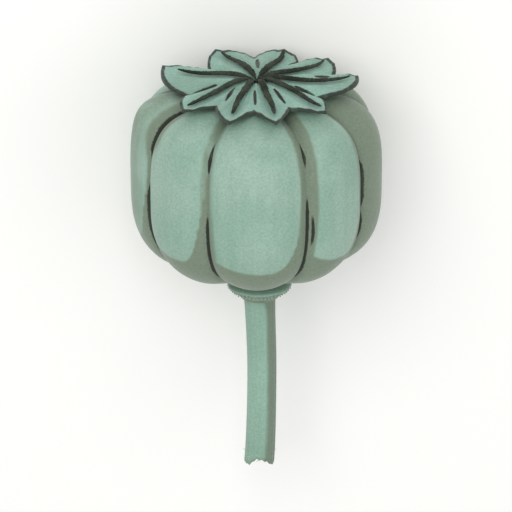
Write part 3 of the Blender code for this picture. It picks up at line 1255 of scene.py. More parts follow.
@dataclass
class StigmaDisc:
    """The crown: a leathery disc with a lobe for every ray, folded between the lobes."""

    axis: HeadAxis
    top_height: float = 18.3 * MM
    foot_height: float = 16.7 * MM
    middle_thickness: float = 1.2 * MM
    edge_thickness: float = 0.62 * MM
    keel_thickness: float = 0.5 * MM
    foot_full_share: float = 0.41
    foot_end_share: float = 0.51
    tip_power: float = 1.8
    swell: float = 0.7 * MM
    tip_curl: float = 0.6 * MM
    rise_power: float = 1.6
    tip_rise_power: float = 1.5
    bed_depth: float = 0.4 * MM
    bed_half_width: float = 1.1 * MM
    fold_depth: float = 0.30 * MM
    fold_half_width: float = 0.9 * MM
    fold_from_share: float = 0.40
    fold_to_share: float = 0.95
    crease_depth: float = 0.28 * MM
    crease_half_width: float = 0.24 * MM
    crease_reach: float = 1.2 * MM
    crease_end_breadth: float = 0.6
    crease_line_narrowness: float = 1.25
    dimple_depth: float = 0.45 * MM
    dimple_share: float = 0.13
    margin_half_width: float = 0.42 * MM
    far_margin_gain: float = 0.7
    margin_darkness: float = 0.95
    wrinkle_depth: float = 0.09 * MM
    edge_roundness: float = 0.25
    # painted shade on the crown: in the folds at the notches, in the middle dimple and beside the creases
    notch_shade: float = 0.45
    notch_shade_share: float = 0.86
    middle_shade: float = 0.55
    middle_shade_full_share: float = 0.04
    middle_shade_end_share: float = 0.16
    crease_shade: float = 0.4
    crease_shade_half_width: float = 0.45 * MM
    steps_per_half_lobe: int = 34
    rings_on_face: int = 72
    face_ring_power: float = 0.85
    rings_on_edge: int = 5
    rings_under: int = 30

    # Two sets of ripples across each other: turns round the disc, lean outwards, and start in radians.
    WRINKLES = ((47, 3, 0.0), (29, -5, 1.0))

    def marks_deg(self) -> list[float]:
        """Azimuths of the tips and notches, in turn."""
        return [azimuth for lobe in CROWN_LOBES for azimuth in (lobe.tip_deg, lobe.notch_deg)]

    def edge(self, azimuth: np.ndarray) -> tuple[np.ndarray, np.ndarray, np.ndarray]:
        """The disc's edge.

        Args:
            azimuth: directions in radians.

        Returns:
            Reach from the axis, rise over the middle, and how near a ray it is: 0 at a notch, 1 on a ray.
        """
        marks = self.marks_deg()
        knots = np.array([*marks, marks[0] + 360])
        degrees = (np.degrees(azimuth) - knots[0]) % 360 + knots[0]
        place = np.interp(degrees, knots, np.arange(len(knots))) % len(marks)
        index = place.astype(int)
        before = index // 2
        past_tip = index % 2 == 0
        lobe = np.where(past_tip, before, (before + 1) % len(CROWN_LOBES))
        near = np.where(past_tip, 1 - place % 1, place % 1)
        labels = ("reach", "rise", "fullness", "notch_reach", "notch_rise", "fullness_before", "roundness")
        of = {label: np.array([getattr(each, label) for each in CROWN_LOBES]) for label in labels}
        fullness = np.where(past_tip, of["fullness"][before], of["fullness_before"][lobe])
        rounded = of["roundness"][lobe] * (1 - (1 - near) ** self.tip_power)
        outward = (1 - of["roundness"][lobe]) * near**fullness + rounded
        low, high = of["notch_reach"][before], of["reach"][lobe]
        reach = low + (high - low) * outward
        low, high = of["notch_rise"][before], of["rise"][lobe]
        rise = low + (high - low) * near**self.tip_rise_power
        return reach * MM, rise * MM, near

    def face(self, azimuth: np.ndarray, share: np.ndarray) -> np.ndarray:
        """The upper face, without the rays' beds.

        Args:
            azimuth: directions in radians.
            share: shares of the way to the edge.

        Returns:
            Its height over the equator.
        """
        _, rise, near = self.edge(azimuth)
        swell = self.swell * np.sin(np.pi * np.sqrt(share)) ** 2
        hollow = share**2 * (1.0 - share) * 27 / 4  # 1 where it is deepest
        dimple = self.dimple_depth * np.exp(-((share / self.dimple_share) ** 2))
        curl = self.tip_curl * near**2 * hollow
        return self.top_height + swell - dimple - curl + rise * share**self.rise_power

    def bed(self, azimuth: np.ndarray, radius: np.ndarray) -> np.ndarray:
        """The shallow beds that the rays lie in.

        Args:
            azimuth: directions in radians.
            radius: distance from the axis.

        Returns:
            Their depth.
        """
        depth = np.zeros(np.broadcast(azimuth, radius).shape)
        for lobe in CROWN_LOBES:
            offset = azimuth - lobe.ray_azimuth(radius)
            beside = np.where(np.cos(offset) > 0, radius * np.abs(np.sin(offset)), radius)
            side = (2 * self.bed_half_width - beside) / self.bed_half_width
            depth = np.maximum(depth, self.bed_depth * np.clip(side, 0.0, 1.0))
        return depth

    @staticmethod
    def _beside(azimuth: np.ndarray, centre: np.ndarray, radius: np.ndarray) -> np.ndarray:
        """Sideways distance from a line that runs out from the axis."""
        offset = azimuth - centre
        return np.where(np.cos(offset) > 0, radius * np.abs(np.sin(offset)), FAR)

    def _folds(self, azimuth: np.ndarray, share: np.ndarray, reach: np.ndarray) -> np.ndarray:
        """The soft valleys that run in from the notches.

        Args:
            azimuth: directions in radians.
            share: shares of the way to the edge.
            reach: how far out the edge is.

        Returns:
            Their depth.
        """
        depth = np.zeros(share.shape)
        for lobe in CROWN_LOBES:
            beside = self._beside(azimuth, math.radians(lobe.notch_deg), reach * share)
            valley = self.fold_depth * np.exp(-((beside / self.fold_half_width) ** 2))
            depth = np.maximum(depth, valley * smooth(self.fold_from_share, self.fold_to_share, share))
        return depth

    def _creases(self, across: np.ndarray) -> np.ndarray:
        """Distance to the nearest dark crease for its width.

        Args:
            across: points across the axis.

        Returns:
            The distance, and a metre where no crease is near.
        """
        distance = np.full(across.shape[:-1], FAR)
        for crease in CROWN_CREASES:
            start, end = crease.ends()
            run = end - start
            along = np.clip(((across - start) @ run) / (run @ run), 0, 1)
            nearest = start + along[..., None] * run
            breadth = self.crease_end_breadth + (1 - self.crease_end_breadth) * np.sin(np.pi * along)
            beside = np.linalg.norm(across - nearest, axis=-1) / (crease.width * breadth)
            distance = np.minimum(distance, beside)
        return np.where(distance < self.crease_reach, distance, FAR)

    def _grid(self) -> tuple[np.ndarray, np.ndarray]:
        """Where the disc's points are.

        Returns:
            Azimuths in one row, and shares of the way out in rings over the face, round the edge and back.
        """
        marks = self.marks_deg()
        turns = np.arange(len(marks) * self.steps_per_half_lobe) / self.steps_per_half_lobe
        azimuth = np.radians(np.interp(turns, np.arange(len(marks) + 1), [*marks, marks[0] + 360]))[None, :]
        over = np.linspace(0, 1, self.rings_on_face)[:, None] ** self.face_ring_power
        back = np.linspace(1, 0, self.rings_under)[:, None]
        share = np.concatenate((over, np.ones((self.rings_on_edge, 1)), back))
        return azimuth, share * np.ones_like(azimuth)

    def _solid(self, azimuth: np.ndarray, share: np.ndarray, crease: np.ndarray) -> np.ndarray:
        """The disc's shape.

        Args:
            azimuth: directions in radians.
            share: shares of the way to the edge.
            crease: distance to the nearest dark crease.

        Returns:
            The points of the upright head.
        """
        reach, _, near = self.edge(azimuth)
        radius = reach * share
        fold = self._folds(azimuth, share, reach)
        fold = fold + self.crease_depth * np.exp(-((crease / self.crease_half_width) ** 2))
        wrinkles = self.wrinkle_depth * share**2 * (1 - near**8)
        for turns, lean, start in self.WRINKLES:
            wrinkles = wrinkles * np.sin(azimuth * turns + share * lean + start)
        face = self.face(azimuth, share) - fold + wrinkles
        top = face - self.bed(azimuth, radius)
        under = face - self.edge_thickness - self.keel_thickness * near**4
        under = np.minimum(under, self.top_height - self.middle_thickness)
        foot = smooth(self.foot_end_share, self.foot_full_share, share)
        under = under + (self.foot_height - SINK - under) * foot

        first, last = self.rings_on_face, self.rings_on_face + self.rings_on_edge
        turn = np.linspace(0, np.pi, self.rings_on_edge + 2)[1:-1, None]
        height = np.where(np.arange(len(share))[:, None] < first, top, under)
        height[first:last] = top[first - 1] + (under[last] - top[first - 1]) * (1 - np.cos(turn)) / 2
        radius[first:last] += self.edge_thickness * self.edge_roundness * np.sin(turn)
        return round_axis(radius, azimuth, height)

    def _marks(
        self, finish: SkinFinish, azimuth: np.ndarray, share: np.ndarray, crease: np.ndarray
    ) -> dict[str, np.ndarray]:
        """What the crown's skin reads on each point.

        Args:
            finish: the skin.
            azimuth: directions in radians.
            share: shares of the way to the edge.
            crease: distance to the nearest dark crease.

        Returns:
            The finish's marks: the dark lines along the creases and the margin, and the painted shade at the
            notches, in the middle and beside the creases.
        """
        reach, _, near = self.edge(azimuth)
        margin = self.margin_half_width * (1 + self.far_margin_gain * np.maximum(np.sin(azimuth), 0))
        inward = np.maximum(reach * (1 - share) - margin + finish.line_half_width_mm * MM, 0)
        drawn = crease * self.crease_line_narrowness
        notch_and_middle_shade = self.notch_shade * smooth(self.notch_shade_share, 1.0, share) * (1 - near)
        notch_and_middle_shade = notch_and_middle_shade + self.middle_shade * smooth(self.middle_shade_end_share, self.middle_shade_full_share, share)
        beside = self.crease_shade * np.exp(-((crease / self.crease_shade_half_width) ** 2))
        return {
            "shade": np.clip(np.maximum(notch_and_middle_shade, beside), 0, 1),
            "line_mm": np.minimum(drawn, inward) / MM,
            "line_mark": np.where(drawn < inward, 1.0, self.margin_darkness),
            "pale": np.zeros_like(share),
        }

    def build(self, finish: SkinFinish) -> bpy.types.Object:
        """Makes the disc and puts it in place.

        Args:
            finish: its skin.

        Returns:
            The finished piece.
        """
        azimuth, share = self._grid()
        reach, _, _ = self.edge(azimuth)
        across = (reach * share)[..., None] * np.stack((np.cos(azimuth), np.sin(azimuth)), axis=-1)
        crease = self._creases(across)
        points = self._solid(azimuth, share, crease)
        marks = self._marks(finish, azimuth, share, crease)
        piece = dressed_sleeve("crown", self.axis.lay(points), marks, finish.material())
        fit_out(piece, "crown_skin", "stigma_disc")
        return piece


@dataclass
class StigmaRays:
    """The dark velvet bands on the crown, one along each lobe, which meet in the middle."""

    axis: HeadAxis
    disc: StigmaDisc
    half_width: float = 0.74 * MM
    half_height: float = 0.45 * MM
    lift: float = 0.10 * MM
    start: float = 0.2 * MM
    end_shares: tuple[float, ...] = (0.92, 0.90, 0.94, 0.87, 0.82, 0.93, 0.84, 0.84, 0.92)
    taper: float = 0.42
    pinch: float = 0.45
    pinch_end: float = 3.2 * MM
    wander: float = 0.16 * MM
    hub_radius: float = 0.75 * MM
    hub_half_height: float = 0.36 * MM
    hub_sides: int = 28
    hub_rings: int = 14
    sides: int = 18
    rings: int = 40
    knob_radius: float = 0.085 * MM
    knobs_per_square_mm: float = 9.0
    least_knob_scale: float = 0.6
    most_knob_scale: float = 1.25
    least_facing: float = 0.1
    seed: int = 7

    # Along a ray's length in millimetres. Their starts differ from ray to ray.
    SIDE_WAVES = (Wave(0.10, 2.3, 1.0), Wave(0.06, 5.1, 2.0))
    WANDER_WAVE = Wave(1.0, 0.55, 1.9)

    def build(self, finish: VelvetFinish) -> bpy.types.Object:
        """Makes the rays with their velvet and puts them in place.

        Args:
            finish: the velvet.

        Returns:
            The finished piece.
        """
        bodies = [self._hub(), *(self._ray(index, lobe) for index, lobe in enumerate(CROWN_LOBES))]
        star = union("ray_star", bodies)
        star.shade_smooth()
        piece = self._velvet(finish.material()).bake("rays", star)
        fit_out(piece, "ray_velvet", "stigma_rays")
        return piece

    @staticmethod
    def _ball_grid(rings: int, sides: int) -> tuple[np.ndarray, np.ndarray]:
        """Latitudes from pole to pole and turns round them, for a sleeve shaped like a drawn-out ball."""
        latitude = np.linspace(np.pi / 2, -np.pi / 2, rings)[:, None]
        return latitude, np.linspace(0, math.tau, sides, endpoint=False)[None, :]

    def _ray(self, index: int, lobe: Lobe) -> bpy.types.Mesh:
        """One ray: a low rounded band along its bed, uneven at its sides and thinner at the tip.

        Args:
            index: which of the lobes it is on.
            lobe: that lobe.

        Returns:
            The ray's closed mesh.
        """
        latitude, turn = self._ball_grid(self.rings, self.sides)
        along = (1 + np.sin(latitude)) / 2
        end = lobe.reach * MM * self.end_shares[index]
        radius = self.start + (end - self.start) * along
        azimuth = lobe.ray_azimuth(radius)
        girth = (1 - self.taper * along) * np.maximum(np.cos(latitude), 0) ** 0.5
        girth = girth * (self.pinch + (1 - self.pinch) * smooth(self.start, self.pinch_end, radius))
        uneven = 1 + sum(wave.at(radius / MM, index) for wave in self.SIDE_WAVES)
        wander = self.wander * self.WANDER_WAVE.at(radius / MM, index) * np.sin(np.pi * along)
        beside = self.half_width * girth * uneven * np.cos(turn) + wander
        above = self.half_height * (1 + girth * np.sin(turn))
        edge, _, _ = self.disc.edge(azimuth)
        floor = self.disc.face(azimuth, radius / edge) - self.disc.bed_depth + self.lift
        aside = (-beside * np.sin(azimuth), beside * np.cos(azimuth))
        points = round_axis(radius, azimuth, floor + above, *aside)
        return sleeve("ray", self.axis.lay(points), {})

    def _hub(self) -> bpy.types.Mesh:
        """The low boss where the rays meet.

        Returns:
            The boss's closed mesh.
        """
        latitude, turn = self._ball_grid(self.hub_rings, self.hub_sides)
        floor = self.disc.top_height - self.disc.dimple_depth - self.disc.bed_depth
        height = floor + self.lift + self.hub_half_height * (1 + np.sin(latitude))
        points = round_axis(self.hub_radius * np.cos(latitude), turn, height)
        return sleeve("hub", self.axis.lay(points), {})

    def _velvet(self, material: bpy.types.Material) -> GeometrySketch:
        """Tiny knobs all over the rays' upper sides.

        Args:
            material: the velvet.

        Returns:
            A tree that takes the rays and adds the knobs.
        """
        sizes = {
            "Density": self.knobs_per_square_mm / MM**2,
            "Radius": self.knob_radius,
            "Least Scale": self.least_knob_scale,
            "Most Scale": self.most_knob_scale,
            "Least Facing": self.least_facing,
            "Seed": self.seed,
        }
        sketch = GeometrySketch("ray velvet", sizes)
        body = sketch.entry.outputs["Geometry"]
        facing = sketch.node("ShaderNodeSeparateXYZ", {0: sketch.node("GeometryNodeInputNormal").outputs[0]})
        spread = sketch.node(
            "GeometryNodeDistributePointsOnFaces",
            {
                "Mesh": body,
                "Selection": sketch.field(facing, "Y").math("GREATER_THAN", sketch.size("Least Facing")),
                "Density": sketch.size("Density"),
                "Seed": sketch.size("Seed"),
            },
        )
        knob = sketch.node("GeometryNodeMeshIcoSphere", {"Radius": sketch.size("Radius"), "Subdivisions": 1})
        scale = sketch.node(
            "FunctionNodeRandomValue",
            {2: sketch.size("Least Scale"), 3: sketch.size("Most Scale"), "Seed": sketch.size("Seed")},
            data_type="FLOAT",
        )
        knobs = sketch.node(
            "GeometryNodeInstanceOnPoints",
            {
                "Points": spread.outputs["Points"],
                "Instance": knob.outputs["Mesh"],
                "Rotation": spread.outputs["Rotation"],
                "Scale": sketch.field(scale, 1),
            },
        )
        sketch.close(sketch.soften(sketch.join(body, knobs.outputs[0])), material)
        return sketch


@dataclass
class Collar:
    """The swollen ring below the capsule, where the petals and stamens sat, with the scars they left."""

    axis: HeadAxis
    radius: float = 5.87 * MM
    rim_depth: float = 20.6 * MM
    top_depth: float = 20.15 * MM
    top_share: float = 0.82
    end_drop: float = 0.02 * MM
    points_round: int = 160
    steps_per_knot: int = 4
    swell: float = 0.016
    furrow_below_rim: float = 0.92 * MM
    furrow_half_width: float = 0.14 * MM
    furrow_depth: float = 0.10 * MM
    furrow_line: float = 0.4
    furrow_line_narrowness: float = 0.8
    furrow_shade: float = 0.25
    furrow_fade: tuple[float, float] = (0.80, 0.88)
    furrow_line_fade: tuple[float, float] = (0.84, 0.90)
    shade_from_depth: float = 0.9 * MM
    shade_to_depth: float = 2.4 * MM
    foot_shade: float = 0.7
    scar_count: int = 46
    scar_rows: int = 2
    scar_radius: float = 0.13 * MM
    scar_segments: int = 8
    scar_rings: int = 5
    scar_flatness: float = 0.75
    scar_ring_share: float = 0.965
    scar_row_narrowing: float = 0.10
    scar_row_depth: float = 0.46 * MM
    scar_row_step: float = 0.66 * MM
    scar_jitter: float = 0.07 * MM
    scar_shade: float = 0.55
    seed: int = 3

    SWELL_WAVES = (Wave(0.6, 7, 0.6), Wave(0.4, 13))
    # Half section, as shares of the rim's radius: its side with depths below the rim, its foot above the end.
    SIDE = (
        (0.95, -0.18 * MM),
        (0.995, 0.02 * MM),
        (1.0, 0.25 * MM),
        (0.97, 0.55 * MM),
        (0.92, 0.88 * MM),
        (0.84, 1.18 * MM),
        (0.75, 1.48 * MM),
        (0.66, 1.85 * MM),
    )
    FOOT = ((0.59, 0.25 * MM), (0.53, 0.0))

    def _profile(self) -> tuple[np.ndarray, np.ndarray]:
        """The half section, from the top's middle down the outside to the stalk.

        Returns:
            Radius and height over the equator, one ring in each row.
        """
        end = -COLLAR_END_DEPTH
        knots = np.array(
            [
                (0.0, -self.top_depth),
                (self.radius * self.top_share, -self.top_depth),
                *((self.radius * share, -self.rim_depth - depth) for share, depth in self.SIDE),
                *((self.radius * share, end + height) for share, height in self.FOOT),
                (STALK_RADIUS - SINK, end - self.end_drop),
                (0.0, end - self.end_drop),
            ]
        )
        last = len(knots) - 1
        fine = np.linspace(0, last, self.steps_per_knot * last + 1)
        soft = np.array((0.25, 0.5, 0.25))
        columns = []
        for values in knots.T:
            column = np.interp(fine, np.arange(len(knots)), values)
            column[1:-1] = np.convolve(column, soft, mode="valid")
            columns.append(column[:, None])
        return columns[0], columns[1]

    def build(self, finish: SkinFinish) -> bpy.types.Object:
        """Makes the collar and its scars and puts them in place.

        Args:
            finish: its skin.

        Returns:
            The finished collar.
        """
        radius, height = self._profile()
        turn = np.linspace(0, math.tau, self.points_round, endpoint=False)[None, :]
        rim = np.clip(radius / self.radius, 0, 1)
        swell = 1 + self.swell * rim**4 * (sum(wave.at(turn) for wave in self.SWELL_WAVES) - 1)
        depth = -self.rim_depth - height
        aside = depth - self.furrow_below_rim
        furrow = np.exp(-((aside / self.furrow_half_width) ** 2))
        reach = radius * swell - self.furrow_depth * furrow * smooth(*self.furrow_fade, rim)
        shade = self.foot_shade * smooth(self.shade_from_depth, self.shade_to_depth, depth)
        marks = {
            "shade": shade + self.furrow_shade * furrow,
            "line_mm": np.abs(aside) / MM * self.furrow_line_narrowness,
            "line_mark": self.furrow_line * smooth(*self.furrow_line_fade, rim),
            "pale": np.zeros_like(rim),
        }
        material = finish.material()
        points = round_axis(reach, turn, height, STALK_SHIFT)
        piece = dressed_sleeve("collar", self.axis.lay(points), marks, material)
        fit_out(piece, "collar_skin", "receptacle")
        scars = self._scar_tree(material).bake("stamen_scars")
        fit_out(scars, "collar_skin")
        return piece

    def _scar_tree(self, material: bpy.types.Material) -> GeometrySketch:
        """Rows of small stamen scars round the collar's rim.

        Args:
            material: the collar's skin.

        Returns:
            A tree that makes the scars.
        """
        sizes = {
            "Scars in a Row": self.scar_count,
            "Scar Radius": self.scar_radius,
            "Scar Segments": self.scar_segments,
            "Scar Rings": self.scar_rings,
            "Rim Radius": self.radius * self.scar_ring_share,
            "Row Narrowing": self.scar_row_narrowing,
            "Scar Shade": self.scar_shade,
            "Seed": self.seed,
        }
        sketch = GeometrySketch("stamen scars", sizes)
        size = sketch.size
        rows = []
        for row in range(self.scar_rows):
            depth = self.rim_depth + self.scar_row_depth + self.scar_row_step * row
            radius = size("Rim Radius") * (1.0 - size("Row Narrowing") * row)
            turn = math.pi / self.scar_count * row
            ring = sketch.ring(size("Scars in a Row"), radius, self.axis.spot(depth, STALK_SHIFT), turn)
            jitter = sketch.scatter((-self.scar_jitter,) * 3, (self.scar_jitter,) * 3)
            scar = sketch.node(
                "GeometryNodeMeshUVSphere",
                {
                    "Segments": size("Scar Segments"),
                    "Rings": size("Scar Rings"),
                    "Radius": size("Scar Radius"),
                },
            )
            dots = sketch.node(
                "GeometryNodeInstanceOnPoints",
                {
                    "Points": sketch.set_out(ring, jitter),
                    "Instance": scar.outputs[0],
                    "Scale": (1.0, self.scar_flatness, 1.0),
                },
            )
            rows.append(dots.outputs[0])
        real = sketch.node("GeometryNodeRealizeInstances", {"Geometry": sketch.join(*rows)})
        shaded = sketch.keep(sketch.soften(real.outputs[0]), "shade", size("Scar Shade"))
        sketch.close(shaded, material)
        return sketch


@dataclass
class Stalk:
    """The cut stalk, finely ridged along its length, with a torn end."""

    axis: HeadAxis
    radius: float = STALK_RADIUS
    top_depth: float = 22.9 * MM
    end_depth: float = 56.1 * MM
    bow: float = 0.45 * MM
    bow_start_depth: float = 22.4 * MM
    bow_lift_share: float = 0.5
    waist: float = 0.04
    flare: float = 0.12 * MM
    flare_length: float = 1.6 * MM
    ridges: int = 19
    ridge_height: float = 0.045 * MM
    ridge_evenness: float = 0.7
    torn_length: float = 3.0 * MM
    torn_middle_share: float = 0.35
    notch: float = 1.15 * MM
    notch_narrowness: float = 5.0
    back: float = 0.6 * MM
    back_turn_deg: float = 30.0
    teeth: float = 0.16 * MM
    least_teeth: float = 2.4
    pith_depth: float = 1.1 * MM
    pith_slope: tuple[float, float] = (0.97, 0.45)
    pit_depth: float = 0.14 * MM
    pits_end_share: float = 0.9
    # painted shade: the right side, and the top under the collar
    side_shade: float = 0.85
    side_fade: tuple[float, float] = (0.10, 0.62)
    side_back_fade: tuple[float, float] = (0.7, 0.3)
    rim_shade: float = 0.30
    rim_fade: tuple[float, float] = (1.3 * MM, 0.4 * MM)
    collar_shade: float = 0.35
    collar_shade_end: float = 25.5 * MM
    pith_fade: tuple[float, float] = (0.95, 0.80)
    rim_line: float = 0.25
    no_line_mm: float = 3.0
    points_round: int = 152
    rings_along: int = 130
    fibre_count: int = 34
    fibre_length: float = 0.8 * MM
    fibre_radius: float = 0.09 * MM
    fibre_sides: int = 6
    fibre_tip_share: float = 0.3
    fibre_ring_share: float = 0.84
    fibre_end: float = 1.9 * MM
    fibre_jitter: tuple[float, float, float] = (0.22 * MM, 0.3 * MM, 0.22 * MM)
    fibre_lean_deg: float = 14.0
    fibre_paleness: float = 0.7
    seed: int = 11

    # Rings of the torn end, from the rind to the middle.
    END_SHARES = (0.96, 0.86, 0.74, 0.66, 0.5, 0.33, 0.16, 0.0)
    RIDGE_LEAN = Wave(0.8, 0.16)
    RIDGE_FADE = (0.4, 3)  # turns with each millimetre, and with the azimuth
    PITS = (5, 9)  # turns round the end, and lean towards its middle
    TEETH_WAVES = (Wave(1.0, 3), Wave(0.8, 7, 2.0), Wave(0.7, 17))

    def torn_edge(self, azimuth: np.ndarray) -> np.ndarray:
        """The torn rim.

        Args:
            azimuth: directions in radians.

        Returns:
            How far it is short of the stalk's full length.
        """
        notch = self.notch * np.maximum(-np.sin(azimuth), 0) ** self.notch_narrowness
        back = self.back * np.maximum(np.sin(azimuth + math.radians(self.back_turn_deg)), 0) ** 2
        ragged = self.least_teeth + sum(wave.at(azimuth) for wave in self.TEETH_WAVES)
        return notch + back + self.teeth * ragged

    def _grid(self) -> tuple[np.ndarray, np.ndarray, np.ndarray]:
        """Where the stalk's points are, from the top's middle over the side to the torn end's middle.

        Returns:
            Azimuths in one row, and for each ring its share of the stalk's length and of its radius.
        """
        azimuth = np.linspace(0, math.tau, self.points_round, endpoint=False)[None, :]
        along = (0.0, *np.linspace(0, 1, self.rings_along), *(1.0 for _ in self.END_SHARES))
        share = (0.0, *(1.0 for _ in range(self.rings_along)), *self.END_SHARES)
        return azimuth, np.array(along)[:, None], np.array(share)[:, None]

    def _solid(
        self, azimuth: np.ndarray, along: np.ndarray, share: np.ndarray, depth: np.ndarray
    ) -> np.ndarray:
        """The stalk's shape.

        Args:
            azimuth: directions in radians.
            along: shares of its length.
            share: shares of its radius.
            depth: below the equator, before the end is torn.

        Returns:
            The points of the upright head.
        """
        bow_place = (depth - self.bow_start_depth) / (self.end_depth - self.bow_start_depth)
        bow = self.bow * np.sin(np.pi * bow_place)
        waist = 1 - self.waist * np.sin(np.pi * bow_place)
        per_mm, per_turn = self.RIDGE_FADE
        evenness = np.sin(depth / MM * per_mm + per_turn * azimuth)
        ridge = np.sin(azimuth * self.ridges + self.RIDGE_LEAN.at(depth / MM))
        ridge = ridge * (self.ridge_evenness + (1 - self.ridge_evenness) * evenness)
        flare = self.flare * np.exp(-((depth - COLLAR_END_DEPTH) / self.flare_length))
        radius = (self.radius * waist + flare) * share + (ridge - 1) * self.ridge_height * share

        at_end = along == 1
        hollow = self.pith_depth * smooth(*self.pith_slope, share) * at_end * (share < 1)
        turns, lean = self.PITS
        pitted = self.pit_depth * np.sin(turns * azimuth + lean * share) * share
        pitted = pitted * (share < self.pits_end_share) * at_end
        near_end = smooth(self.end_depth - self.torn_length, self.end_depth, depth)
        inward = self.torn_middle_share + (1 - self.torn_middle_share) * share
        torn = self.torn_edge(azimuth) * near_end * inward + hollow + pitted
        return round_axis(radius, azimuth, torn - depth, STALK_SHIFT + bow, self.bow_lift_share * bow)

    def _marks(
        self, azimuth: np.ndarray, along: np.ndarray, share: np.ndarray, depth: np.ndarray
    ) -> dict[str, np.ndarray]:
        """What the stalk's skin reads on each point.

        Args:
            azimuth: directions in radians.
            along: shares of its length.
            share: shares of its radius.
            depth: below the equator, before the end is torn.

        Returns:
            The finish's marks: the painted shade on the right side and at the top under the collar, the brown
            grey rim, and the pale pith of the torn end.
        """
        at_end = along == 1
        right = smooth(*self.side_fade, np.cos(azimuth)) * smooth(*self.side_back_fade, np.sin(azimuth))
        rim = smooth(*self.rim_fade, self.end_depth - depth)
        top = smooth(self.collar_shade_end, COLLAR_END_DEPTH, depth)
        shade = self.side_shade * right + self.rim_shade * rim + self.collar_shade * top
        return {
            "shade": np.clip(shade, 0, 1),
            "line_mm": np.abs(share - 1) * self.radius / MM + self.no_line_mm * (along < 1),
            "line_mark": self.rim_line * at_end,
            "pale": smooth(*self.pith_fade, share) * at_end,
        }

    def build(self, finish: SkinFinish) -> bpy.types.Object:
        """Makes the stalk and its fibres and puts them in place.

        Args:
            finish: its skin.

        Returns:
            The finished stalk.
        """
        azimuth, along, share = self._grid()
        depth = self.top_depth + (self.end_depth - self.top_depth) * along
        points = self._solid(azimuth, along, share, depth)
        material = finish.material()
        marks = self._marks(azimuth, along, share, depth)
        piece = dressed_sleeve("stalk", self.axis.lay(points), marks, material)
        fit_out(piece, "stalk_skin", "stem")
        fibres = self._fibre_tree(material).bake("torn_fibres")
        fit_out(fibres, "stalk_skin")
        return piece

    def _fibre_tree(self, material: bpy.types.Material) -> GeometrySketch:
        """Short torn fibres round the broken rim.

        Args:
            material: the stalk's skin.

        Returns:
            A tree that makes the fibres.
        """
        sizes = {
            "Fibres": self.fibre_count,
            "Fibre Length": self.fibre_length,
            "Fibre Radius": self.fibre_radius,
            "Fibre Sides": self.fibre_sides,
            "Tip Share": self.fibre_tip_share,
            "Ring Radius": self.radius * self.fibre_ring_share,
            "Paleness": self.fibre_paleness,
            "Line Distance": self.no_line_mm,
            "Seed": self.seed,
        }
        sketch = GeometrySketch("torn fibres", sizes)
        size = sketch.size
        middle = self.axis.spot(self.end_depth - self.fibre_end, STALK_SHIFT)
        ring = sketch.ring(size("Fibres"), size("Ring Radius"), middle)
        jitter = sketch.scatter(tuple(-reach for reach in self.fibre_jitter), self.fibre_jitter)
        spike = sketch.node(
            "GeometryNodeMeshCone",
            {
                "Vertices": size("Fibre Sides"),
                "Radius Bottom": size("Fibre Radius"),
                "Radius Top": size("Fibre Radius") * size("Tip Share"),
                "Depth": size("Fibre Length"),
            },
        )
        lean = math.radians(self.fibre_lean_deg)
        tilt = sketch.scatter((math.pi / 2 - lean, -lean, 0.0), (math.pi / 2 + lean, lean, math.tau))
        spikes = sketch.node(
            "GeometryNodeInstanceOnPoints",
            {"Points": sketch.set_out(ring, jitter), "Instance": spike.outputs[0], "Rotation": tilt},
        )
        real = sketch.node("GeometryNodeRealizeInstances", {"Geometry": spikes.outputs[0]})
        kept = sketch.keep(real.outputs[0], "pale", size("Paleness"))
        kept = sketch.keep(kept, "line_mm", size("Line Distance"))
        sketch.close(kept, material)
        return sketch


@dataclass(frozen=True)
class Lamp:
    """One soft square light that faces the head. Its place is counted from the head's middle."""

    name: str
    place: Spot
    size: float
    power: float
    colour: tuple[float, float, float]


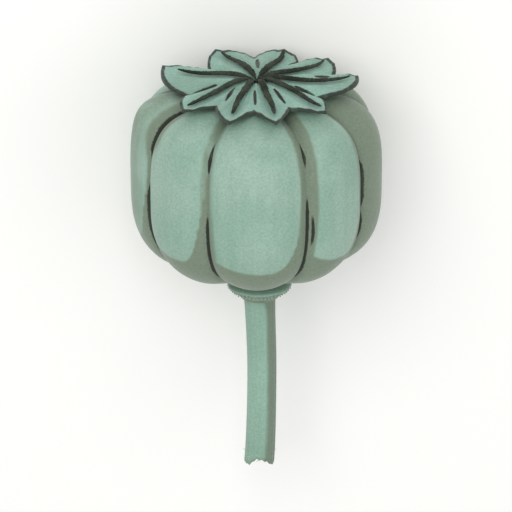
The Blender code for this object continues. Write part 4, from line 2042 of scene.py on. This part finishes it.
@dataclass
class Studio:
    """A plain pale table, soft lights from the upper left, and the camera that looks down on the head."""

    axis: HeadAxis
    lens_mm: float = 300.0
    sensor_mm: float = 36.0
    image_px: int = 512
    pixels_per_mm: float = 253 / 45  # the capsule's width in the picture and on the part
    equator_px_above_middle: float = 80.0
    tilt_deg: float = 22.5
    axis_offset: float = -0.07 * MM
    nearest_seen: float = 10 * MM
    middle_depth: float = 15 * MM
    sky_strength: float = 0.62
    table_half_width: float = 1.5

    LAMPS = (
        Lamp("key", (-0.10, 0.26, 0.46), 0.34, 1.25, (1.0, 0.99, 0.97)),
        Lamp("fill", (0.30, 0.05, 0.44), 0.40, 0.34, (0.97, 0.99, 1.0)),
        Lamp("front", (-0.05, -0.30, 0.42), 0.40, 0.30, (1.0, 1.0, 1.0)),
    )

    def build(self) -> None:
        """Sets up the floor, the lights and the camera."""
        self._floor()
        self._world()
        for lamp in self.LAMPS:
            self._light(lamp)
        self._camera()
        bpy.context.scene.view_settings.view_transform = "Standard"

    def _floor(self) -> None:
        """The table top."""
        mesh = bpy.data.meshes.new("table_top")
        half = self.table_half_width
        corners = [(-half, -half, 0), (half, -half, 0), (half, half, 0), (-half, half, 0)]
        mesh.from_pydata(corners, [], [(0, 1, 2, 3)])
        paint = {"Base Color": srgb(250, 250, 248), "Roughness": 0.9, "Specular IOR Level": 0.1}
        mesh.materials.append(MaterialSketch("table_paint").close(paint))
        add_object("table_top", mesh)

    def _world(self) -> None:
        """Even light from all round."""
        world = bpy.data.worlds.new("studio")
        world.use_nodes = True
        sky = world.node_tree.nodes["Background"]
        sky.inputs["Color"].default_value = (1.0, 1.0, 1.0, 1.0)
        sky.inputs["Strength"].default_value = self.sky_strength
        bpy.context.scene.world = world

    def _light(self, lamp: Lamp) -> None:
        """Puts up one light.

        Args:
            lamp: what it is like.
        """
        data = bpy.data.lights.new(lamp.name, "AREA")
        data.size = lamp.size
        data.energy = lamp.power
        data.color = lamp.colour
        place = Vector(lamp.place)
        spot = Vector(self.axis.spot(self.middle_depth, 0.0)) + place
        turn = place.to_track_quat("Z", "Y").to_matrix().to_4x4()
        add_object(lamp.name, data).matrix_world = Matrix.Translation(spot) @ turn

    def _camera(self) -> None:
        """The camera at the drawing's angle."""
        tilt = math.radians(self.tilt_deg)
        focal_px = self.lens_mm / self.sensor_mm * self.image_px
        up = self.equator_px_above_middle / self.pixels_per_mm * MM
        distance = focal_px / self.pixels_per_mm * MM + up * math.tan(tilt)
        target = Vector(self.axis.spot(up / math.cos(tilt), self.axis_offset))
        back = Vector((0.0, math.sin(tilt), math.cos(tilt)))
        above = Vector((0.0, math.cos(tilt), -math.sin(tilt)))
        turn = Matrix((above.cross(back), above, back)).transposed().to_4x4()
        data = bpy.data.cameras.new("camera")
        data.lens = self.lens_mm
        data.sensor_width = self.sensor_mm
        data.clip_start = self.nearest_seen
        camera = add_object("camera", data)
        camera.matrix_world = Matrix.Translation(target + back * distance) @ turn
        bpy.context.scene.camera = camera


def main() -> None:
    """Builds every piece in order and reports it."""
    logging.basicConfig(level=logging.INFO, format="%(name)s: %(message)s")
    axis = HeadAxis.from_part()
    LOG.info("the axis is at x %.5f, z %.5f, and the equator at y %.5f", axis.x, axis.z, axis.equator_y)
    Studio(axis).build()
    Capsule(axis).build(CAPSULE_SKIN)
    disc = StigmaDisc(axis)
    disc.build(CROWN_SKIN)
    StigmaRays(axis, disc).build(VelvetFinish())
    Collar(axis).build(COLLAR_SKIN)
    Stalk(axis).build(STALK_SKIN)


if __name__ == "__main__":
    main()
